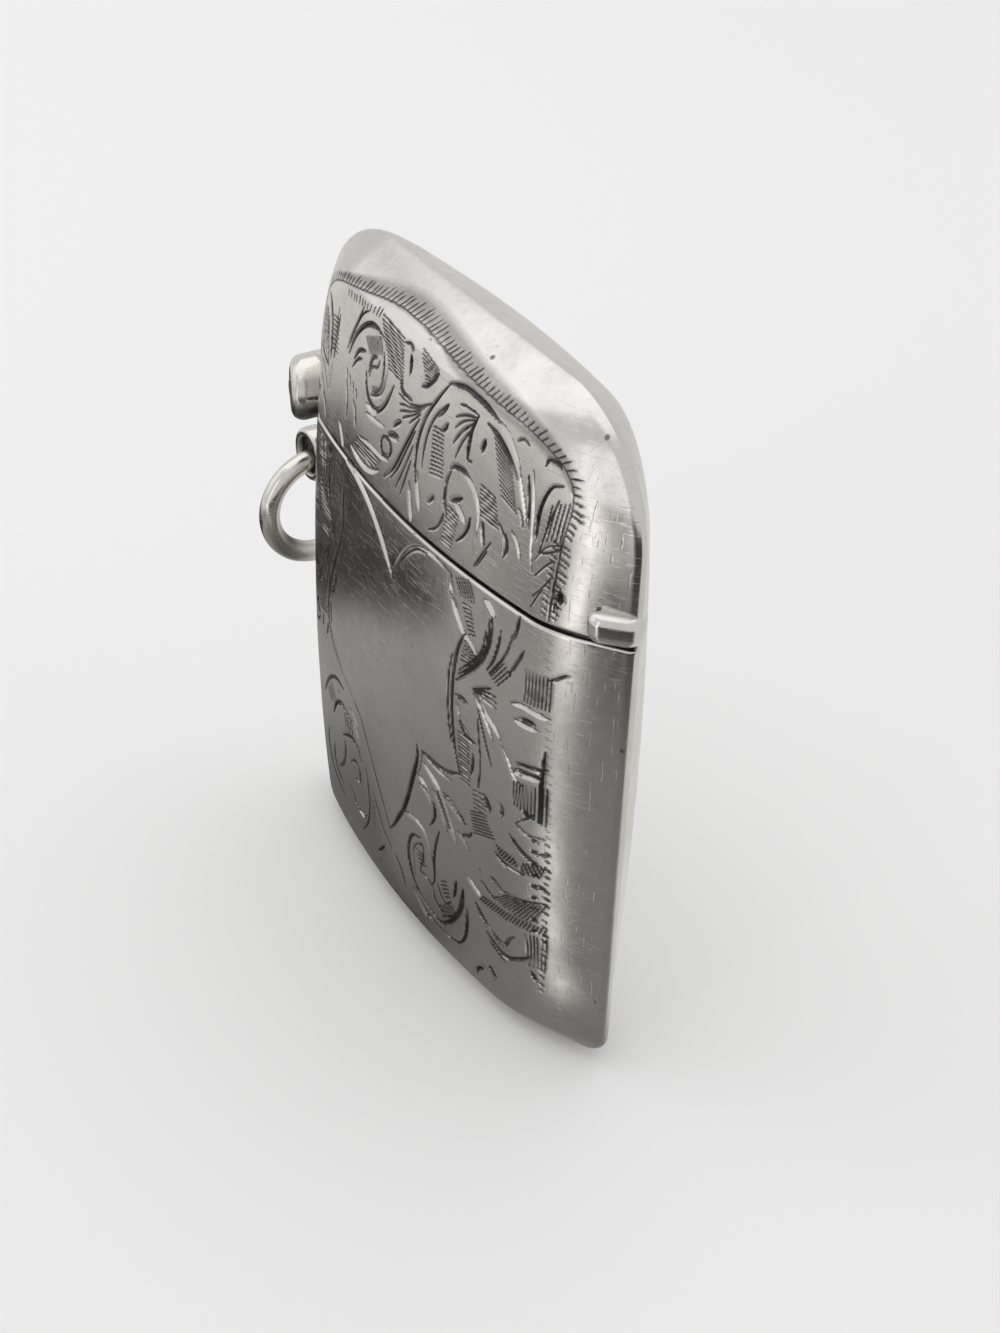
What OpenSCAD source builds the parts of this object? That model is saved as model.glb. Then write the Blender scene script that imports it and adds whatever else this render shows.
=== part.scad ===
// Vesta case: a pocket match case of pressed silver, a soft cushion in form, with a sprung lid
// hinged on one side, a serrated striker let into the base and a ring for a chain.
// Millimetres, Z up, base on Z = 0, front face towards -Y, hinge and ring on the -X edge.

/* [Case] */
// Width from edge to edge
case_w = 35; // [32:0.5:39]
// Height from the base to the top of the lid
case_h = 45; // [42:0.5:50]
// Height of the lid above the seam
lid_h = 13.2; // [12.2:0.1:15]
// Open line between the lid and the body
seam_gap = 0.25; // [0.1:0.05:0.4]
// Thickness of the pressed sheet
wall = 0.45; // [0.35:0.05:0.55]

/* [Cushion form] */
// Thickness of the sharp rim where the front half meets the back half
rim_t = 0.5; // [0.4:0.05:0.7]
// Width of the soldered face between the two halves
lap_w = 0.3; // [0.25:0.05:0.4]
// Width of the bevel that runs round the sides and the top
bevel_w = 3.4; // [2.8:0.1:4]
// Rise of the bevel that does not depend on the crown
bevel_rise = 0.9; // [0.7:0.05:1.2]
// Softness of the bevel at the sides: 1 is a flat chamfer, 2 a round shoulder
bevel_soft = 1.3; // [1.1:0.05:1.6]
// Softness of the bevel along the top, in the same measure
top_soft = 2; // [1.7:0.05:2.2]
// Swell of each face across the width
crown_across = 2.3; // [2:0.1:2.8]
// Swell of each face up the height
crown_up = 1.5; // [1.2:0.1:1.9]
// Corner radius of the outline at the top
top_corner_r = 7.8; // [6.5:0.1:8.5]
// Corner radius of the outline at the base
base_corner_r = 4.5; // [3.5:0.1:5.5]
// Height over which each face turns in to the base
base_turn_h = 1.8; // [1.4:0.1:2.4]
// Share of the swell that is left at the base itself
base_share = 0.6; // [0.5:0.05:0.7]

/* [Striker and bezel] */
// Thickness of the striker plate
plate_t = 0.9; // [0.7:0.05:1.2]
// Distance from one ridge of the striker to the next
ridge_pitch = 0.9; // [0.7:0.05:1.2]
// Depth of the grooves between the ridges
ridge_depth = 0.35; // [0.2:0.05:0.45]
// Flat left on the crest of each ridge
ridge_flat = 0.3; // [0.2:0.05:0.4]
// Thickness of the bezel strip inside the mouth
bezel_t = 0.35; // [0.25:0.05:0.45]
// Height of the bezel above the mouth
bezel_up = 1.4; // [1:0.1:1.8]
// Depth of the bezel below the mouth
bezel_down = 3.6; // [2.5:0.1:5]

/* [Hinge] */
// Radius of the hinge barrel
barrel_r = 2.1; // [2:0.05:2.3]
// Length of the barrel from front to back, along its axis
barrel_len = 6.4; // [6:0.1:6.8]
// Slant of the barrel's ends, which are filed back towards the outside
end_slant = 17; // [10:1:22]
// Length of the lid's middle knuckle
lid_knuckle_len = 2.3; // [2.1:0.1:2.5]
// Radius of the hinge pin
pin_r = 0.7; // [0.5:0.05:0.9]
// Length of the plug that hides each end of the pin
plug_len = 0.6; // [0.5:0.05:0.8]
// Rounding of the barrel's outer edges
barrel_edge_r = 0.35; // [0.25:0.05:0.5]
// Distance of the spring flats on the lid's knuckle from the hinge axis
cam_r = 1.85; // [1.78:0.01:1.9]
// Angle at which the second spring flat holds the lid open
open_angle = 110; // [100:1:120]

/* [Lid spring] */
// Thickness of the leaf
leaf_t = 0.3; // [0.2:0.05:0.4]
// Width of the leaf
leaf_w = 1.6; // [1.2:0.1:1.7]
// Length of the leaf below the hinge axis
leaf_down = 15; // [13:0.5:17]
// Length of the leaf above the hinge axis
leaf_up = 0.9; // [0.6:0.1:1.1]
// Length of the block that the leaf is riveted to
block_len = 4.5; // [3.5:0.1:5.5]
// Distance of the block from the soldered face
block_inset = 0.6; // [0.5:0.05:0.7]
// Radius of the rivet's shank
rivet_r = 0.4; // [0.3:0.05:0.45]

/* [Thumb piece] */
// Radius of the thumb piece's two ends seen from above
thumb_r = 0.9; // [0.8:0.05:1]
// Distance between the middles of those ends, along the bevel
thumb_len = 1.05; // [0.8:0.05:1.3]
// Distance of the outer end's middle from the case's edge
thumb_in = 0.4; // [0.3:0.05:0.5]
// Distance of that middle in front of the rim
thumb_front = 0.35; // [0.25:0.05:0.45]
// Height of the thumb piece
thumb_h = 2.15; // [1.8:0.05:2.6]
// Rounding of its top edge
thumb_top_r = 0.4; // [0.3:0.05:0.5]
// Rounding of its underside, which leaves a crescent for the thumbnail
thumb_under_r = 0.6; // [0.4:0.05:0.7]

/* [Lug and ring] */
// Distance from the case's edge to the middle of the lug's eye
lug_reach = 2.75; // [2.5:0.05:3.1]
// Depth of the eye below the seam
lug_drop = 6.75; // [6.25:0.05:8]
// Outer radius of the eye
eye_r = 1.9; // [1.75:0.05:2.05]
// Radius of the hole in the eye
eye_hole_r = 1.22; // [1.1:0.01:1.26]
// Thickness of the lug
lug_t = 1.5; // [1.2:0.1:1.6]
// Radius of the ring's wire
wire_r = 0.72; // [0.6:0.02:0.74]
// Radius of the ring to the middle of its wire
ring_r = 3.65; // [3.4:0.05:4.5]

/* [Hidden] */
// Clearance of soldered and pressed pieces
fit = 0.02;
// Clearance of pieces that move past each other
run = 0.12;
// Radial clearance of the pin in the lid's knuckle
pin_run = 0.05;
// Gap between neighbouring knuckles
knuckle_gap = 0.05;
seam_z = case_h - lid_h;
half_case = case_w / 2;
crown_mid = case_h * 0.4622;
crown_reach = case_h * 0.5333;
hinge_x = -half_case - 0.05;
hinge_z = seam_z + seam_gap / 2;
outer_knuckle_len = (barrel_len - lid_knuckle_len) / 2 - knuckle_gap;
leaf_x = hinge_x + cam_r + fit;
lug_x = -half_case - lug_reach;
lug_z = seam_z - lug_drop;
// The wire sags a little inside the eye because the ring is curved
eye_sag = ring_r - sqrt(ring_r * ring_r - lug_t * lug_t / 4);
ring_top_z = lug_z - (eye_hole_r - wire_r) + eye_sag + 0.05;
thumb_z = seam_z + seam_gap + 0.1;
// Number of strips across a face, up the lid's corner, up its sides and up the body
across = 28;
corner_rows = 12;
side_rows = 4;
foot_rows = 6;
body_rows = 9;
// First and last of those strips that the bezel lies on
bezel_from = 7;
bezel_to = 25;
$fn = 64;

silver = [0.80, 0.79, 0.77];
silver_light = [0.88, 0.87, 0.85];
silver_dark = [0.62, 0.61, 0.60];
steel = [0.50, 0.51, 0.53];

// Cushion surfaces

// Rises from 0 to 1 as t does, and flattens towards the end
function ramp(t, n) = 1 - pow(1 - min(max(t, 0), 1), n);

// Half width of the case's outline at height z, with the outline drawn in by s
function half_w(z, s) =
    let (top_r = top_corner_r - s)
    let (up = max(0, z - case_h + top_corner_r))
    let (down = max(0, base_corner_r - z))
    up > 0
        ? half_case - top_corner_r + sqrt(max(0, top_r * top_r - up * up))
        : half_case - s - base_corner_r
            + sqrt(max(0, base_corner_r * base_corner_r - down * down));

// Distance of a point of the face inside that outline, the base apart
function inside(x, z, s) =
    let (side = half_w(min(z, case_h - top_corner_r), s) - abs(x))
    let (top = case_h - s - z)
    let (r = top_corner_r - s)
    r > side && r > top ? r - norm([r - side, r - top]) : min(side, top);

// Full swell of a face over the middle plane
function swell(x, z) =
    bevel_rise + crown_across * (1 - pow(x / half_case, 2))
        + crown_up * (1 - pow((z - crown_mid) / crown_reach, 2));

function base_turn(z) = base_share + (1 - base_share) * ramp(z / base_turn_h, 2);

// Softness of the bevel: that of the sides, which turns into that of the top round the corners
function soft_at(x, z) =
    let (side = max(0.001, abs(x) - half_case + top_corner_r))
    let (top = max(0, z - case_h + top_corner_r))
    bevel_soft + (top_soft - bevel_soft) * top * top / (side * side + top * top);

// Distance of the outer and inner surfaces from the middle plane
function outer_y(x, z) =
    rim_t / 2 + swell(x, z) * ramp(inside(x, z, 0) / bevel_w, soft_at(x, z)) * base_turn(z);
function inner_y(x, z) =
    (swell(x, z) + rim_t / 2 - wall)
        * ramp(inside(x, z, lap_w) / bevel_w, soft_at(x, z)) * base_turn(z);

// Places across a face, closer together on the bevels
function steps() = [for (i = [0:across]) sin(180 * i / across - 90)];

// Heights of the sections of the body and of the lid
function body_levels() = concat(
    [for (k = [0:foot_rows]) base_corner_r * (1 - cos(90 * k / foot_rows))],
    [for (k = [1:body_rows]) base_corner_r + (seam_z - base_corner_r) * k / body_rows]);
function lid_levels(s) = concat(
    [for (k = [0:side_rows])
        seam_z + seam_gap + (lid_h - seam_gap - top_corner_r) * k / side_rows],
    [for (k = [1:corner_rows])
        case_h - top_corner_r + (top_corner_r - s) * sin(90 * k / corner_rows)]);

// One section of a half shell: outer line, rim, inner line and rim again
function shell_section(z_out, z_in) = concat(
    [for (u = steps()) let (x = u * half_w(z_out, 0)) [x, -outer_y(x, z_out), z_out]],
    [[half_w(z_out, 0), 0, z_out]],
    [for (i = [across:-1:0])
        let (x = steps()[i] * half_w(z_in, lap_w)) [x, -inner_y(x, z_in), z_in]],
    [[-half_w(z_out, 0), 0, z_out]]);

function quad(a, b, c, d) = [[a, b, c], [a, c, d]];
function flat(list) = [for (part = list) for (item = part) item];

// Faces between the sections of a loft with n points each
function loft_sides(n, rows) = flat([for (j = [0:rows - 1]) for (i = [0:n - 1])
    let (k = (i + 1) % n)
    quad((j + 1) * n + i, (j + 1) * n + k, j * n + k, j * n + i)]);

// Front half of a shell, as a loft through level sections; the lid's top end is closed by a rim
module half_shell(outer_levels, inner_levels, closed_top) {
    rows = len(outer_levels) - 1;
    n = 2 * across + 4;
    top = rows * n;
    last = top + n;
    sections = flat([for (j = [0:rows]) shell_section(outer_levels[j], inner_levels[j])]);
    rim = [for (i = [1:across - 1])
        [steps()[i] * half_w(outer_levels[rows], 0), 0, outer_levels[rows]]];
    function ring(base, i) = base + 2 * across + 2 - i;
    function rim_at(i) = i == 0 ? top + n - 1 : i == across ? top + across + 1 : last + i - 1;
    bottom_faces = concat(
        flat([for (i = [0:across - 1]) quad(i, i + 1, ring(0, i + 1), ring(0, i))]),
        [[across, across + 1, across + 2], [n - 1, 0, n - 2]]);
    top_faces = closed_top
        ? flat([for (i = [0:across - 1]) concat(
            quad(top + i, rim_at(i), rim_at(i + 1), top + i + 1),
            quad(rim_at(i), ring(top, i), ring(top, i + 1), rim_at(i + 1)))])
        : concat(
            flat([for (i = [0:across - 1])
                quad(ring(top, i), ring(top, i + 1), top + i + 1, top + i)]),
            [[top + across + 2, top + across + 1, top + across], [top + n - 2, top, top + n - 1]]);
    polyhedron(
        points = closed_top ? concat(sections, rim) : sections,
        faces = concat(loft_sides(n, rows), bottom_faces, top_faces));
}

// Closed lens through two levels, grown by a clearance: the outside or the inside of the case
function lens_section(z, grow, outside) =
    let (w = half_w(z, outside ? 0 : lap_w) + grow)
    concat(
        [for (u = steps()) let (x = u * w)
            [x, -max((outside ? outer_y(x, z) : inner_y(x, z)) + grow, 0.01), z]],
        [for (i = [across:-1:0]) let (x = steps()[i] * w)
            [x, max((outside ? outer_y(x, z) : inner_y(x, z)) + grow, 0.01), z]]);

module lens(z0, z1, grow, outside) {
    n = 2 * across + 2;
    polyhedron(
        points = concat(lens_section(z0, grow, outside), lens_section(z1, grow, outside)),
        faces = concat(
            loft_sides(n, 1),
            flat([for (i = [0:across - 1]) quad(i, i + 1, n - 2 - i, n - 1 - i)]),
            flat([for (i = [0:across - 1]) quad(2 * n - 1 - i, 2 * n - 2 - i, n + i + 1, n + i)])));
}

// Hinge

// Stands its children on the hinge axis, from y to the back
module on_hinge(y) {
    translate([hinge_x, y, hinge_z])
        rotate([-90, 0, 0])
            children();
}

// Many-sided room for the barrel that touches the circle from outside
module barrel_room(r, length) {
    sides = 40;
    corner_r = r / cos(180 / sides);
    linear_extrude(height = length)
        polygon([for (i = [0:sides - 1])
            let (turn = 360 * i / sides)
            corner_r * [cos(turn), sin(turn)]]);
}

// Notch in a shell: snug on the knuckles that it carries and free of the others
module hinge_notch(middle_r, outer_r) {
    far = barrel_len + 8;
    middle = lid_knuckle_len + knuckle_gap;
    on_hinge(-middle / 2)
        barrel_room(middle_r, middle);
    on_hinge(-far / 2)
        barrel_room(outer_r, (far - middle) / 2);
    on_hinge(middle / 2)
        barrel_room(outer_r, (far - middle) / 2);
}

// Shears its children so that a level face at the given height takes the slant of the barrel's ends
module slanted(height) {
    multmatrix([[1, 0, 0, 0], [0, 1, 0, 0], [tan(end_slant), 0, 1, height], [0, 0, 0, 1]])
        children();
}

// Tube with a bore for the pin; its far end is slanted and has a rounded edge
module knuckle(length, edge_r, bore_r) {
    difference() {
        hull() {
            cylinder(r = barrel_r, h = fit);
            slanted(length - edge_r)
                rotate_extrude() {
                    square([barrel_r - edge_r, edge_r]);
                    translate([barrel_r - edge_r, 0])
                        quarter(edge_r, 1);
                }
        }
        cylinder(r = bore_r, h = 6 * length, center = true);
    }
}

// Plug that ends flush with the slanted face
module end_plug() {
    difference() {
        translate([0, 0, barrel_len / 2 - plug_len])
            cylinder(r = pin_r, h = 3 * plug_len);
        translate([0, 0, barrel_len / 2])
            rotate([0, -end_slant, 0])
                translate([-barrel_r, -barrel_r, 0])
                    cube([2 * barrel_r, 2 * barrel_r, barrel_len]);
    }
}

// Body

module body_half() {
    difference() {
        half_shell(body_levels(), body_levels(), false);
        hinge_notch(barrel_r + run, barrel_r + fit);
    }
}

module body_front() {
    color(silver)
        body_half();
}

module body_back() {
    color(silver)
        mirror([0, 1, 0])
            body_half();
}

// Plate that closes the base, with ridges across it to strike a match on
module striker_plate() {
    plate_w = half_w(0, lap_w) - 0.1;
    count = floor((plate_w - 0.8) / ridge_pitch);
    half_land = ridge_flat / 2;
    color(silver_dark)
        difference() {
            intersection() {
                lens(0, plate_t, -2 * fit, false);
                translate([-plate_w, -case_w, 0])
                    cube([2 * plate_w, 2 * case_w, plate_t]);
            }
            rotate([90, 0, 0])
                linear_extrude(height = case_w, center = true)
                    polygon(concat(
                        [for (i = [-count:count - 1]) each [
                            [i * ridge_pitch + half_land, 0],
                            [(i + 0.5) * ridge_pitch, ridge_depth],
                            [(i + 1) * ridge_pitch - half_land, 0]]],
                        [[count * ridge_pitch, -1], [-count * ridge_pitch, -1]]));
        }
}

// Strip bent round inside the mouth; the lid closes over it. It is left out beside the hinge, and
// stands on the same columns as the shells, so that its facets lie along theirs.
function bezel_section(z, gap) =
    let (last = bezel_to - bezel_from)
    let (xs = [for (i = [bezel_from:bezel_to]) steps()[i] * half_w(z, lap_w)])
    let (draw_in = (xs[last] - bezel_t - xs[0]) / (xs[last] - xs[0]))
    let (xi = [for (x = xs) xs[0] + (x - xs[0]) * draw_in])
    concat(
        [for (x = xs) [x, -inner_y(x, z) + gap, z]],
        [for (i = [last:-1:0]) [xs[i], inner_y(xs[i], z) - gap, z]],
        [for (x = xi) [x, inner_y(x, z) - gap - bezel_t, z]],
        [for (i = [last:-1:0]) [xi[i], -inner_y(xi[i], z) + gap + bezel_t, z]]);

module mouth_bezel() {
    q = bezel_to - bezel_from + 1;
    n = 4 * q;
    bottom = concat(
        flat([for (i = [0:q - 2]) concat(
            quad(i, i + 1, n - 2 - i, n - 1 - i),
            quad(2 * q - 1 - i, 2 * q + i, 2 * q + 1 + i, 2 * q - 2 - i))]),
        quad(q - 1, q, 3 * q - 1, 3 * q));
    color(silver_dark)
        polyhedron(
            points = concat(
                bezel_section(seam_z - bezel_down, 2 * fit),
                bezel_section(seam_z - 5 * fit, 2 * fit),
                bezel_section(seam_z + bezel_up, run + 3 * fit)),
            faces = concat(
                loft_sides(n, 2),
                bottom,
                [for (f = bottom) [f[2] + 2 * n, f[1] + 2 * n, f[0] + 2 * n]]));
}

// Lid

module lid_half() {
    difference() {
        half_shell(lid_levels(0), lid_levels(lap_w), true);
        hinge_notch(barrel_r + fit, barrel_r + run);
    }
}

module lid_front() {
    color(silver)
        lid_half();
}

module lid_back() {
    color(silver)
        mirror([0, 1, 0])
            lid_half();
}

// Quarter disc, towards the top or the bottom
module quarter(r, up) {
    intersection() {
        circle(r = r, $fn = 32);
        translate([0, up > 0 ? 0 : -r])
            square(r);
    }
}

// One end of the thumb piece: a disc with rounded edges
module thumb_end() {
    rotate_extrude() {
        square([thumb_r - thumb_under_r, thumb_h]);
        translate([0, thumb_under_r])
            square([thumb_r - thumb_top_r, thumb_h - thumb_under_r]);
        translate([0, thumb_under_r])
            square([thumb_r, thumb_h - thumb_under_r - thumb_top_r]);
        translate([thumb_r - thumb_under_r, thumb_under_r])
            quarter(thumb_under_r, -1);
        translate([thumb_r - thumb_top_r, thumb_h - thumb_top_r])
            quarter(thumb_top_r, 1);
    }
}

// Nib on the lid's edge opposite the hinge: two such ends with a flat between them along the bevel
module thumb_piece() {
    color(silver_light)
        difference() {
            translate([half_case - thumb_in, -thumb_front, thumb_z])
                rotate(45)
                    hull() {
                        thumb_end();
                        translate([-thumb_len, 0, 0])
                            thumb_end();
                    }
            lens(thumb_z - 1, thumb_z + thumb_h + 1, fit, true);
        }
}

// Middle knuckle, soldered to the lid, with two flats for the spring
module lid_knuckle() {
    color(silver_light)
        difference() {
            on_hinge(-lid_knuckle_len / 2)
                rotate_extrude()
                    translate([pin_r + pin_run, 0])
                        square([barrel_r - pin_r - pin_run, lid_knuckle_len]);
            for (turn = [0, open_angle])
                translate([hinge_x, 0, hinge_z])
                    rotate([0, turn, 0])
                        translate([cam_r, -barrel_len / 2, -barrel_r])
                            cube([barrel_r, barrel_len, 2 * barrel_r]);
        }
}

// Outer knuckles, soldered to the body
module hinge_knuckle_back() {
    color(silver_light)
        on_hinge(lid_knuckle_len / 2 + knuckle_gap)
            knuckle(outer_knuckle_len, barrel_edge_r, pin_r + fit);
}

module hinge_knuckle_front() {
    color(silver_light)
        mirror([0, 1, 0])
            on_hinge(lid_knuckle_len / 2 + knuckle_gap)
                knuckle(outer_knuckle_len, barrel_edge_r, pin_r + fit);
}

module hinge_pin() {
    color(steel)
        on_hinge(-barrel_len / 2 + plug_len)
            cylinder(r = pin_r, h = barrel_len - 2 * plug_len);
}

// Silver plugs, filed flush with the ends of the barrel
module hinge_plug_back() {
    color(silver_light)
        on_hinge(0)
            end_plug();
}

module hinge_plug_front() {
    color(silver_light)
        mirror([0, 1, 0])
            on_hinge(0)
                end_plug();
}

// Lid spring

// Stands its children on the rivet's axis, towards the hinge side
module on_rivet() {
    translate([leaf_x + leaf_t, 0, hinge_z - leaf_down + block_len / 2])
        rotate([0, -90, 0])
            children();
}

// Flat steel leaf that bears on the flats of the lid's knuckle
module lid_spring() {
    color(steel)
        difference() {
            translate([leaf_x, -leaf_w / 2, hinge_z - leaf_down])
                cube([leaf_t, leaf_w, leaf_down + leaf_up]);
            on_rivet()
                cylinder(r = rivet_r + fit, h = 4 * leaf_t, center = true);
        }
}

// Wedge block between the front and back halves that carries the leaf
module spring_block() {
    z0 = hinge_z - leaf_down;
    z1 = z0 + block_len;
    x0 = -half_case + lap_w + block_inset;
    x1 = leaf_x - fit;
    y0 = min(inner_y(x0, z0), inner_y(x0, z1)) - 2 * fit;
    y1 = min(inner_y(x1, z0), inner_y(x1, z1)) - 2 * fit;
    color(silver_dark)
        difference() {
            translate([0, 0, z0])
                linear_extrude(height = block_len)
                    polygon([[x0, -y0], [x1, -y1], [x1, y1], [x0, y0]]);
            on_rivet()
                translate([0, 0, -leaf_t])
                    cylinder(r = rivet_r + fit, h = 4 * leaf_t);
        }
}

module spring_rivet() {
    color(steel)
        on_rivet() {
            translate([0, 0, -0.22])
                cylinder(r1 = rivet_r * 1.3, r2 = rivet_r * 1.7, h = 0.2);
            translate([0, 0, -0.1])
                cylinder(r = rivet_r, h = 0.1 + 3 * leaf_t - fit);
        }
}

// Lug and ring

// Eye on a short round stem that straddles the body's sharp rim
module ring_lug() {
    edge = 0.3;
    color(silver_light)
        difference() {
            union() {
                translate([lug_x, 0, lug_z])
                    rotate([90, 0, 0])
                        rotate_extrude()
                            union() {
                                translate([0, -lug_t / 2])
                                    square([eye_r - edge, lug_t]);
                                translate([0, -lug_t / 2 + edge])
                                    square([eye_r, lug_t - 2 * edge]);
                                for (side = [-1, 1])
                                    translate([eye_r - edge, side * (lug_t / 2 - edge)])
                                        circle(r = edge);
                            }
                translate([lug_x, 0, lug_z])
                    rotate([0, 90, 0])
                        cylinder(r = lug_t / 2, h = lug_reach + 0.7);
            }
            translate([lug_x, 0, lug_z])
                rotate([90, 0, 0])
                    cylinder(r = eye_hole_r, h = 2 * lug_t, center = true);
            lens(lug_z - 4, lug_z + 4, fit, true);
        }
}

module suspension_ring() {
    color(silver_light)
        translate([lug_x, 0, ring_top_z - ring_r])
            rotate([0, 90, 0])
                rotate_extrude()
                    translate([ring_r, 0])
                        circle(r = wire_r);
}

body_front();
body_back();
striker_plate();
mouth_bezel();
lid_front();
lid_back();
thumb_piece();
lid_knuckle();
hinge_knuckle_front();
hinge_knuckle_back();
hinge_pin();
hinge_plug_front();
hinge_plug_back();
lid_spring();
spring_block();
spring_rivet();
ring_lug();
suspension_ring();
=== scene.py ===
import math
import bpy
import numpy as np
from mathutils import Matrix


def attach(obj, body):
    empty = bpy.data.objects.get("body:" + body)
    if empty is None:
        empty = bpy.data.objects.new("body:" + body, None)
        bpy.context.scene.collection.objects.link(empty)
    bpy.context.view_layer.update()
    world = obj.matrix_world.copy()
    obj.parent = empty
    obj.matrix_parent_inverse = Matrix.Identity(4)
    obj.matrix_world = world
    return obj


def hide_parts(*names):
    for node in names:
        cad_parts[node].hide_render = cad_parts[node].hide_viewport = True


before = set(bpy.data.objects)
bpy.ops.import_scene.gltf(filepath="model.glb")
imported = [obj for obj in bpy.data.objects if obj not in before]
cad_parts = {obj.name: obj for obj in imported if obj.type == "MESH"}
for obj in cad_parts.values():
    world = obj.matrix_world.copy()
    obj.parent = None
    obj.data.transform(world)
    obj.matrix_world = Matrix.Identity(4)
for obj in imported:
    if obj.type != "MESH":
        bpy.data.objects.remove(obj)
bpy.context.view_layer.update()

mm = 0.001  # every shape is worked out in millimetres and put into the mesh in metres
print("frame loaded:", len(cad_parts), "solids")

# The case's cushion form: the part's own sizes, with the shoulder, the base's corners and the worn side fitted
# to the photograph
caseForm = dict(
    halfWidth=17.5, height=45.0, seam=31.8, seamGap=0.25, wall=0.45, rimHalf=0.25, lap=0.3,
    bevelWidth=3.7, bevelRise=0.9, bevelSoft=1.45, creaseBlend=0.07, topWidth=2.4, topSoft=1.8,
    thumbWidth=5.0, thumbTaper=0.055, thumbBelow=5.0, thumbSoft=2.0, noseWidth=0.22,
    crownAcross=2.3, crownUp=1.5, crownMid=20.8, crownReach=24.0,
    topCorner=7.8, baseCorner=(5.0, 2.6), baseTurn=1.8, baseShare=0.6,
    lidLip=0.24, bodyLip=0.13, lipGrowth=1.7, lipAcross=(-6, 8))
hinge = dict(
    x=-17.55, z=31.925, radius=2.1, length=6.4, slant=23.0, lidLength=2.3, gap=0.05, edge=0.9, innerEdge=0.05,
    land=0.3, pin=0.7, pinEase=0.02, bodyNotch=2.13, lidNotch=2.22, camRadius=1.85, openAngle=110.0,
    columns=96, lidColumns=180)


def ramp(t, n):  # one less the n-th power of what is left to go
    return 1 - (1 - np.clip(t, 0, 1)) ** n


def softRamp(t, n, k):  # the same ramp with its crease at t = 1 rounded over about k
    q = 1 - np.maximum(t, 0)
    left = 0.5 * (q + np.sqrt(q * q + k * k))
    full = 0.5 * (1 + math.sqrt(1 + k * k))
    return 1 - (left / full) ** n


def outlineHalf(z, s=0.0):
    # half width at height z: straight sides, a quarter circle at the top, a low quarter ellipse at the base
    f = caseForm
    across, rise = f["baseCorner"]
    up = np.maximum(0, z - f["height"] + f["topCorner"])
    down = np.maximum(0, 1 - z / rise)
    top = f["halfWidth"] - f["topCorner"] + np.sqrt(np.maximum(0, (f["topCorner"] - s) ** 2 - up * up))
    low = f["halfWidth"] - s - across + across * np.sqrt(np.maximum(0, 1 - down * down))
    return np.where(up > 0, top, low)


def insideEdge(x, z, s=0.0):  # distance in from the sides and the top, round their corners
    f = caseForm
    side = outlineHalf(np.minimum(z, f["height"] - f["topCorner"]), s) - np.abs(x)
    top = f["height"] - s - z
    r = f["topCorner"] - s
    corner = r - np.hypot(r - side, r - top)
    return np.where((side < r) & (top < r), corner, np.minimum(side, top))


def swell(x, z):  # bevel rise plus a parabola across and a parabola up
    f = caseForm
    return (f["bevelRise"] + f["crownAcross"] * (1 - (x / f["halfWidth"]) ** 2)
            + f["crownUp"] * (1 - ((z - f["crownMid"]) / f["crownReach"]) ** 2))


def baseTurn(z):  # the share left where the sheet turns in at the base
    f = caseForm
    return f["baseShare"] + (1 - f["baseShare"]) * ramp(z / f["baseTurn"], 2)


def topShare(x, z):  # 0 on the sides, 1 along the top and a squared sine round the corners between them
    f = caseForm
    side = np.maximum(0.001, np.abs(x) - f["halfWidth"] + f["topCorner"])
    top = np.maximum(0, z - f["height"] + f["topCorner"])
    return top ** 2 / (side ** 2 + top ** 2)


def bevelShare(d, x, z, front):  # share of the swell at a distance from the edge; the front is worn on the right
    f = caseForm
    hingeSide = softRamp(d / f["bevelWidth"], f["bevelSoft"], f["creaseBlend"])
    wornWidth = f["thumbWidth"] + f["thumbTaper"] * np.maximum(f["height"] - f["thumbBelow"] - z, 0)
    thumbSide = ramp(d / wornWidth, f["thumbSoft"])
    sides = np.where((x > 0) & front, thumbSide, hingeSide)
    return sides + (ramp(d / f["topWidth"], f["topSoft"]) - sides) * topShare(x, z)  # a round shoulder at the top


def outerDepth(x, z, front=True):  # rounded nose at the rim, then the swell times the bevel's share
    f = caseForm
    d = np.maximum(insideEdge(x, z), 0)
    nose = np.sqrt(1 - (1 - np.clip(d / f["noseWidth"], 0, 1)) ** 2)
    return f["rimHalf"] * nose + swell(x, z) * bevelShare(d, x, z, front) * baseTurn(z)


def innerDepth(x, z, front=True):  # the same swell less the sheet, drawn in by the soldered lap
    f = caseForm
    d = np.maximum(insideEdge(x, z, f["lap"]), 0)
    return (swell(x, z) + f["rimHalf"] - f["wall"]) * bevelShare(d, x, z, front) * baseTurn(z)


# Mesh helpers

def quadIndex(rows, cols, wrapRows=False, wrapCols=False, start=0):  # corner numbers of a grid's quads
    r = np.arange(rows if wrapRows else rows - 1)
    c = np.arange(cols if wrapCols else cols - 1)
    r0, c0 = np.meshgrid(r, c, indexing="ij")
    r1, c1 = (r0 + 1) % rows, (c0 + 1) % cols
    corners = np.stack([r0 * cols + c0, r0 * cols + c1, r1 * cols + c1, r1 * cols + c0], -1)
    return corners.reshape(-1, 4) + start


def zipStrip(a, b, flip=False):  # triangles between two lines of points with different counts
    na, nb = len(a), len(b)
    pa, pb = np.linspace(0, 1, na)[1:], np.linspace(0, 1, nb)[1:]
    onA = np.concatenate([np.ones(na - 1, bool), np.zeros(nb - 1, bool)])
    order = np.argsort(np.concatenate([pa, pb - 1e-9]), kind="stable")
    onA = onA[order]
    ia, ib = np.cumsum(onA), np.cumsum(~onA)
    beforeA, beforeB = ia - onA, ib - ~onA
    third = np.where(onA, a[np.minimum(ia, na - 1)], b[np.minimum(ib, nb - 1)])
    tri = np.stack([a[beforeA], third, b[beforeB]], -1)
    return tri[:, ::-1] if flip else tri


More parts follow.
